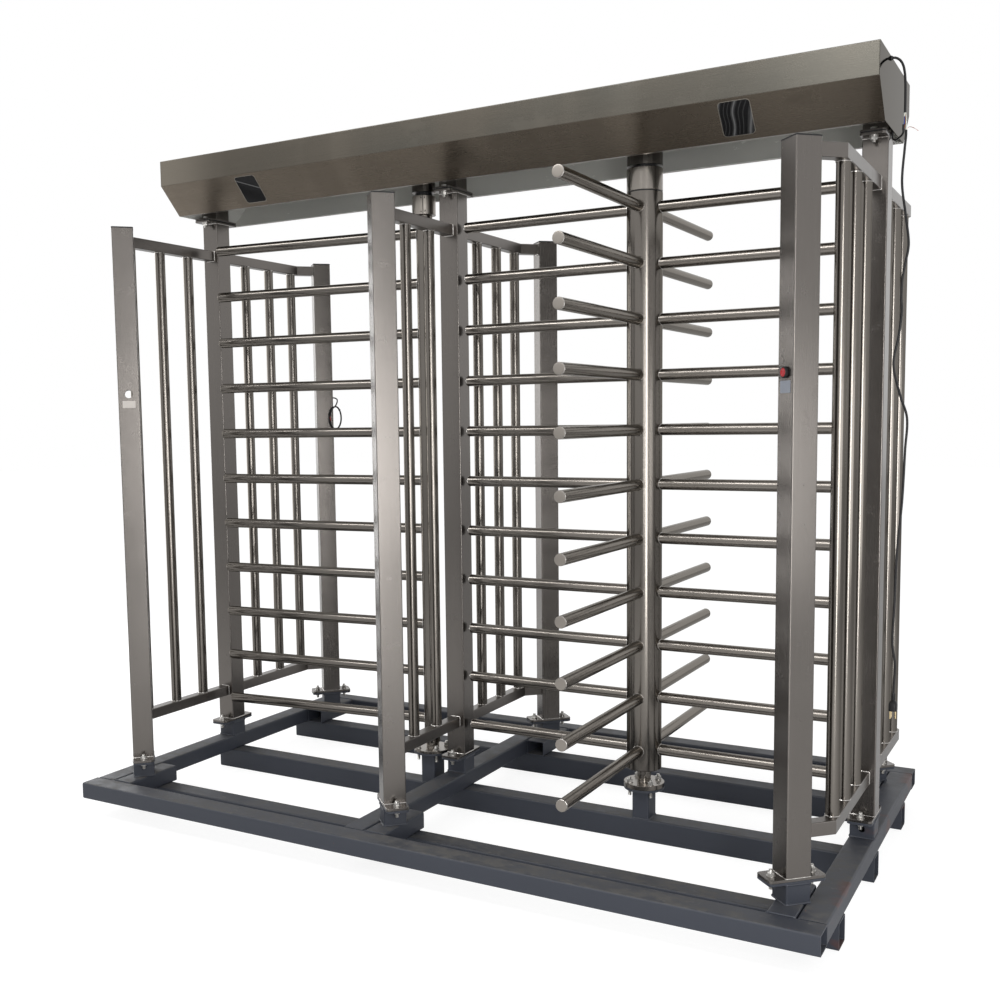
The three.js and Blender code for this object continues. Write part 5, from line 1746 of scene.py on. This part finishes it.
def make_world():
    """White where it is seen or mirrored, and softer as a light."""
    world = bpy.data.worlds.new("studio")
    world.use_nodes = True
    world.node_tree.nodes.clear()
    sky = Tree(world.node_tree)
    rays = sky.node("ShaderNodeLightPath").outputs
    mirrored = sky.math("MAXIMUM", rays["Is Glossy Ray"], rays["Is Transmission Ray"])
    strength = sky.node("ShaderNodeMapRange", None, {
        "Value": sky.math("MAXIMUM", rays["Is Camera Ray"], mirrored), "To Min": WORLD_LIGHT,
        "To Max": 1.0})
    background = sky.node("ShaderNodeBackground", None, {
        "Color": (1, 1, 1), "Strength": strength.outputs[0]})
    sky.node("ShaderNodeOutputWorld", None, {"Surface": background.outputs[0]})
    bpy.context.scene.world = world


def make_floor():
    """A wide pale floor whose glow for the camera lets it meet the white background."""
    bm = bmesh.new()
    skin(bm, [ring(rounded(60, 60, 1), at(), z) for z in (-0.02, 0.0)])
    floor = mesh_object("floor", bm)
    finish = Finish("pale_floor")
    wear = finish.noise(1.5, 3, 0.5)
    diffuse = finish.node("ShaderNodeBsdfDiffuse", None, {
        "Color": finish.tinted(FLOOR_COLOUR, 0.99 + wear * 0.02)})
    glow = finish.node("ShaderNodeEmission", None, {"Color": (1, 1, 1), "Strength": FLOOR_GLOW})
    seen = Value(finish, finish.node("ShaderNodeLightPath").outputs["Is Camera Ray"])
    blend = finish.node("ShaderNodeMixShader", None, {
        0: seen * FLOOR_GLOW_SHARE, 1: diffuse.outputs[0], 2: glow.outputs[0]})
    finish.node("ShaderNodeOutputMaterial", None, {"Surface": blend.outputs[0]})
    floor.data.materials.append(finish.material)


def make_stage():
    """Camera, world, floor and lamps."""
    make_camera()
    make_world()
    make_floor()
    for name, facts in LAMPS.items():
        area_light(name, *facts)
    bpy.context.scene.view_settings.view_transform = "Standard"


# Add-on


class TURNSTILE_OT_stage(bpy.types.Operator):
    """Makes the camera, the floor, the world and the lamps."""

    bl_idname = "turnstile.stage"
    bl_label = "Stage"

    def execute(self, context):
        make_stage()
        return {"FINISHED"}


class TURNSTILE_OT_cords(bpy.types.Operator):
    """Makes the mains lead with its splice and plug, and the spare lead."""

    bl_idname = "turnstile.cords"
    bl_label = "Cords"

    def execute(self, context):
        make_cords()
        return {"FINISHED"}


class TURNSTILE_OT_base(bpy.types.Operator):
    """Makes the skids, sills, cross beams, stubs and pedestals."""

    bl_idname = "turnstile.base"
    bl_label = "Base frame"

    def execute(self, context):
        make_base()
        return {"FINISHED"}


class TURNSTILE_OT_posts(bpy.types.Operator):
    """Makes the square posts with their plates and caps."""

    bl_idname = "turnstile.posts"
    bl_label = "Posts"

    def execute(self, context):
        make_posts()
        return {"FINISHED"}


class TURNSTILE_OT_guards(bpy.types.Operator):
    """Makes the barred guards between the posts."""

    bl_idname = "turnstile.guards"
    bl_label = "Guards"

    def execute(self, context):
        make_guards()
        return {"FINISHED"}


class TURNSTILE_OT_rotor(bpy.types.Operator):
    """Makes the rotor's column, arms and collar."""

    bl_idname = "turnstile.rotor"
    bl_label = "Rotor"

    def execute(self, context):
        make_rotor()
        return {"FINISHED"}


class TURNSTILE_OT_gate(bpy.types.Operator):
    """Makes the gate's pivot column, bars and collar."""

    bl_idname = "turnstile.gate"
    bl_label = "Gate"

    def execute(self, context):
        make_gate()
        return {"FINISHED"}


class TURNSTILE_OT_bearings(bpy.types.Operator):
    """Makes the flanges and pins under both columns."""

    bl_idname = "turnstile.bearings"
    bl_label = "Foot bearings"

    def execute(self, context):
        make_foot_bearings()
        return {"FINISHED"}


class TURNSTILE_OT_header(bpy.types.Operator):
    """Makes the header's casing, windows and the beam inside."""

    bl_idname = "turnstile.header"
    bl_label = "Header"

    def execute(self, context):
        make_header()
        return {"FINISHED"}


class TURNSTILE_OT_button(bpy.types.Operator):
    """Makes the push button and the bare label plates."""

    bl_idname = "turnstile.button"
    bl_label = "Button"

    def execute(self, context):
        make_button()
        return {"FINISHED"}


class TURNSTILE_OT_fasteners(bpy.types.Operator):
    """Makes the bolts, nuts and washers."""

    bl_idname = "turnstile.fasteners"
    bl_label = "Fasteners"

    def execute(self, context):
        make_fasteners()
        return {"FINISHED"}


class TURNSTILE_OT_gear(bpy.types.Operator):
    """Gives the housings, shafts, pawls and the control box their finishes."""

    bl_idname = "turnstile.gear"
    bl_label = "Gear"

    def execute(self, context):
        dress_hidden_gear()
        return {"FINISHED"}


class TURNSTILE_OT_welds(bpy.types.Operator):
    """Makes the weld beads of all joints."""

    bl_idname = "turnstile.welds"
    bl_label = "Welds"

    def execute(self, context):
        make_all_welds()
        return {"FINISHED"}


OPERATORS = (
    TURNSTILE_OT_stage, TURNSTILE_OT_cords, TURNSTILE_OT_base, TURNSTILE_OT_posts,
    TURNSTILE_OT_guards, TURNSTILE_OT_rotor, TURNSTILE_OT_gate, TURNSTILE_OT_bearings,
    TURNSTILE_OT_header, TURNSTILE_OT_button, TURNSTILE_OT_fasteners, TURNSTILE_OT_gear,
    TURNSTILE_OT_welds)


class TURNSTILE_PT_panel(bpy.types.Panel):
    """Lists the operators and the sizes in the sidebar."""

    bl_label = "Turnstile"
    bl_space_type = "VIEW_3D"
    bl_region_type = "UI"
    bl_category = "Turnstile"

    def draw(self, context):
        column = self.layout.column()
        for cls in OPERATORS:
            column.operator(cls.bl_idname)
        for group in (context.scene.turnstile_sizes, context.scene.turnstile_colours):
            for key in group.bl_rna.properties.keys():
                if key not in ("rna_type", "name"):
                    column.prop(group, key)


CLASSES = (TurnstileSizes, TurnstileColours, *OPERATORS, TURNSTILE_PT_panel)


def register():
    for cls in CLASSES:
        bpy.utils.register_class(cls)
    bpy.types.Scene.turnstile_sizes = PointerProperty(type=TurnstileSizes)
    bpy.types.Scene.turnstile_colours = PointerProperty(type=TurnstileColours)


def unregister():
    del bpy.types.Scene.turnstile_colours
    del bpy.types.Scene.turnstile_sizes
    for cls in reversed(CLASSES):
        bpy.utils.unregister_class(cls)


def main():
    register()
    bpy.ops.turnstile.stage()
    bpy.ops.turnstile.cords()
    bpy.ops.turnstile.base()
    bpy.ops.turnstile.posts()
    bpy.ops.turnstile.guards()
    bpy.ops.turnstile.rotor()
    bpy.ops.turnstile.gate()
    bpy.ops.turnstile.bearings()
    bpy.ops.turnstile.header()
    bpy.ops.turnstile.button()
    bpy.ops.turnstile.fasteners()
    bpy.ops.turnstile.gear()
    bpy.ops.turnstile.welds()


if __name__ == "__main__":
    main()
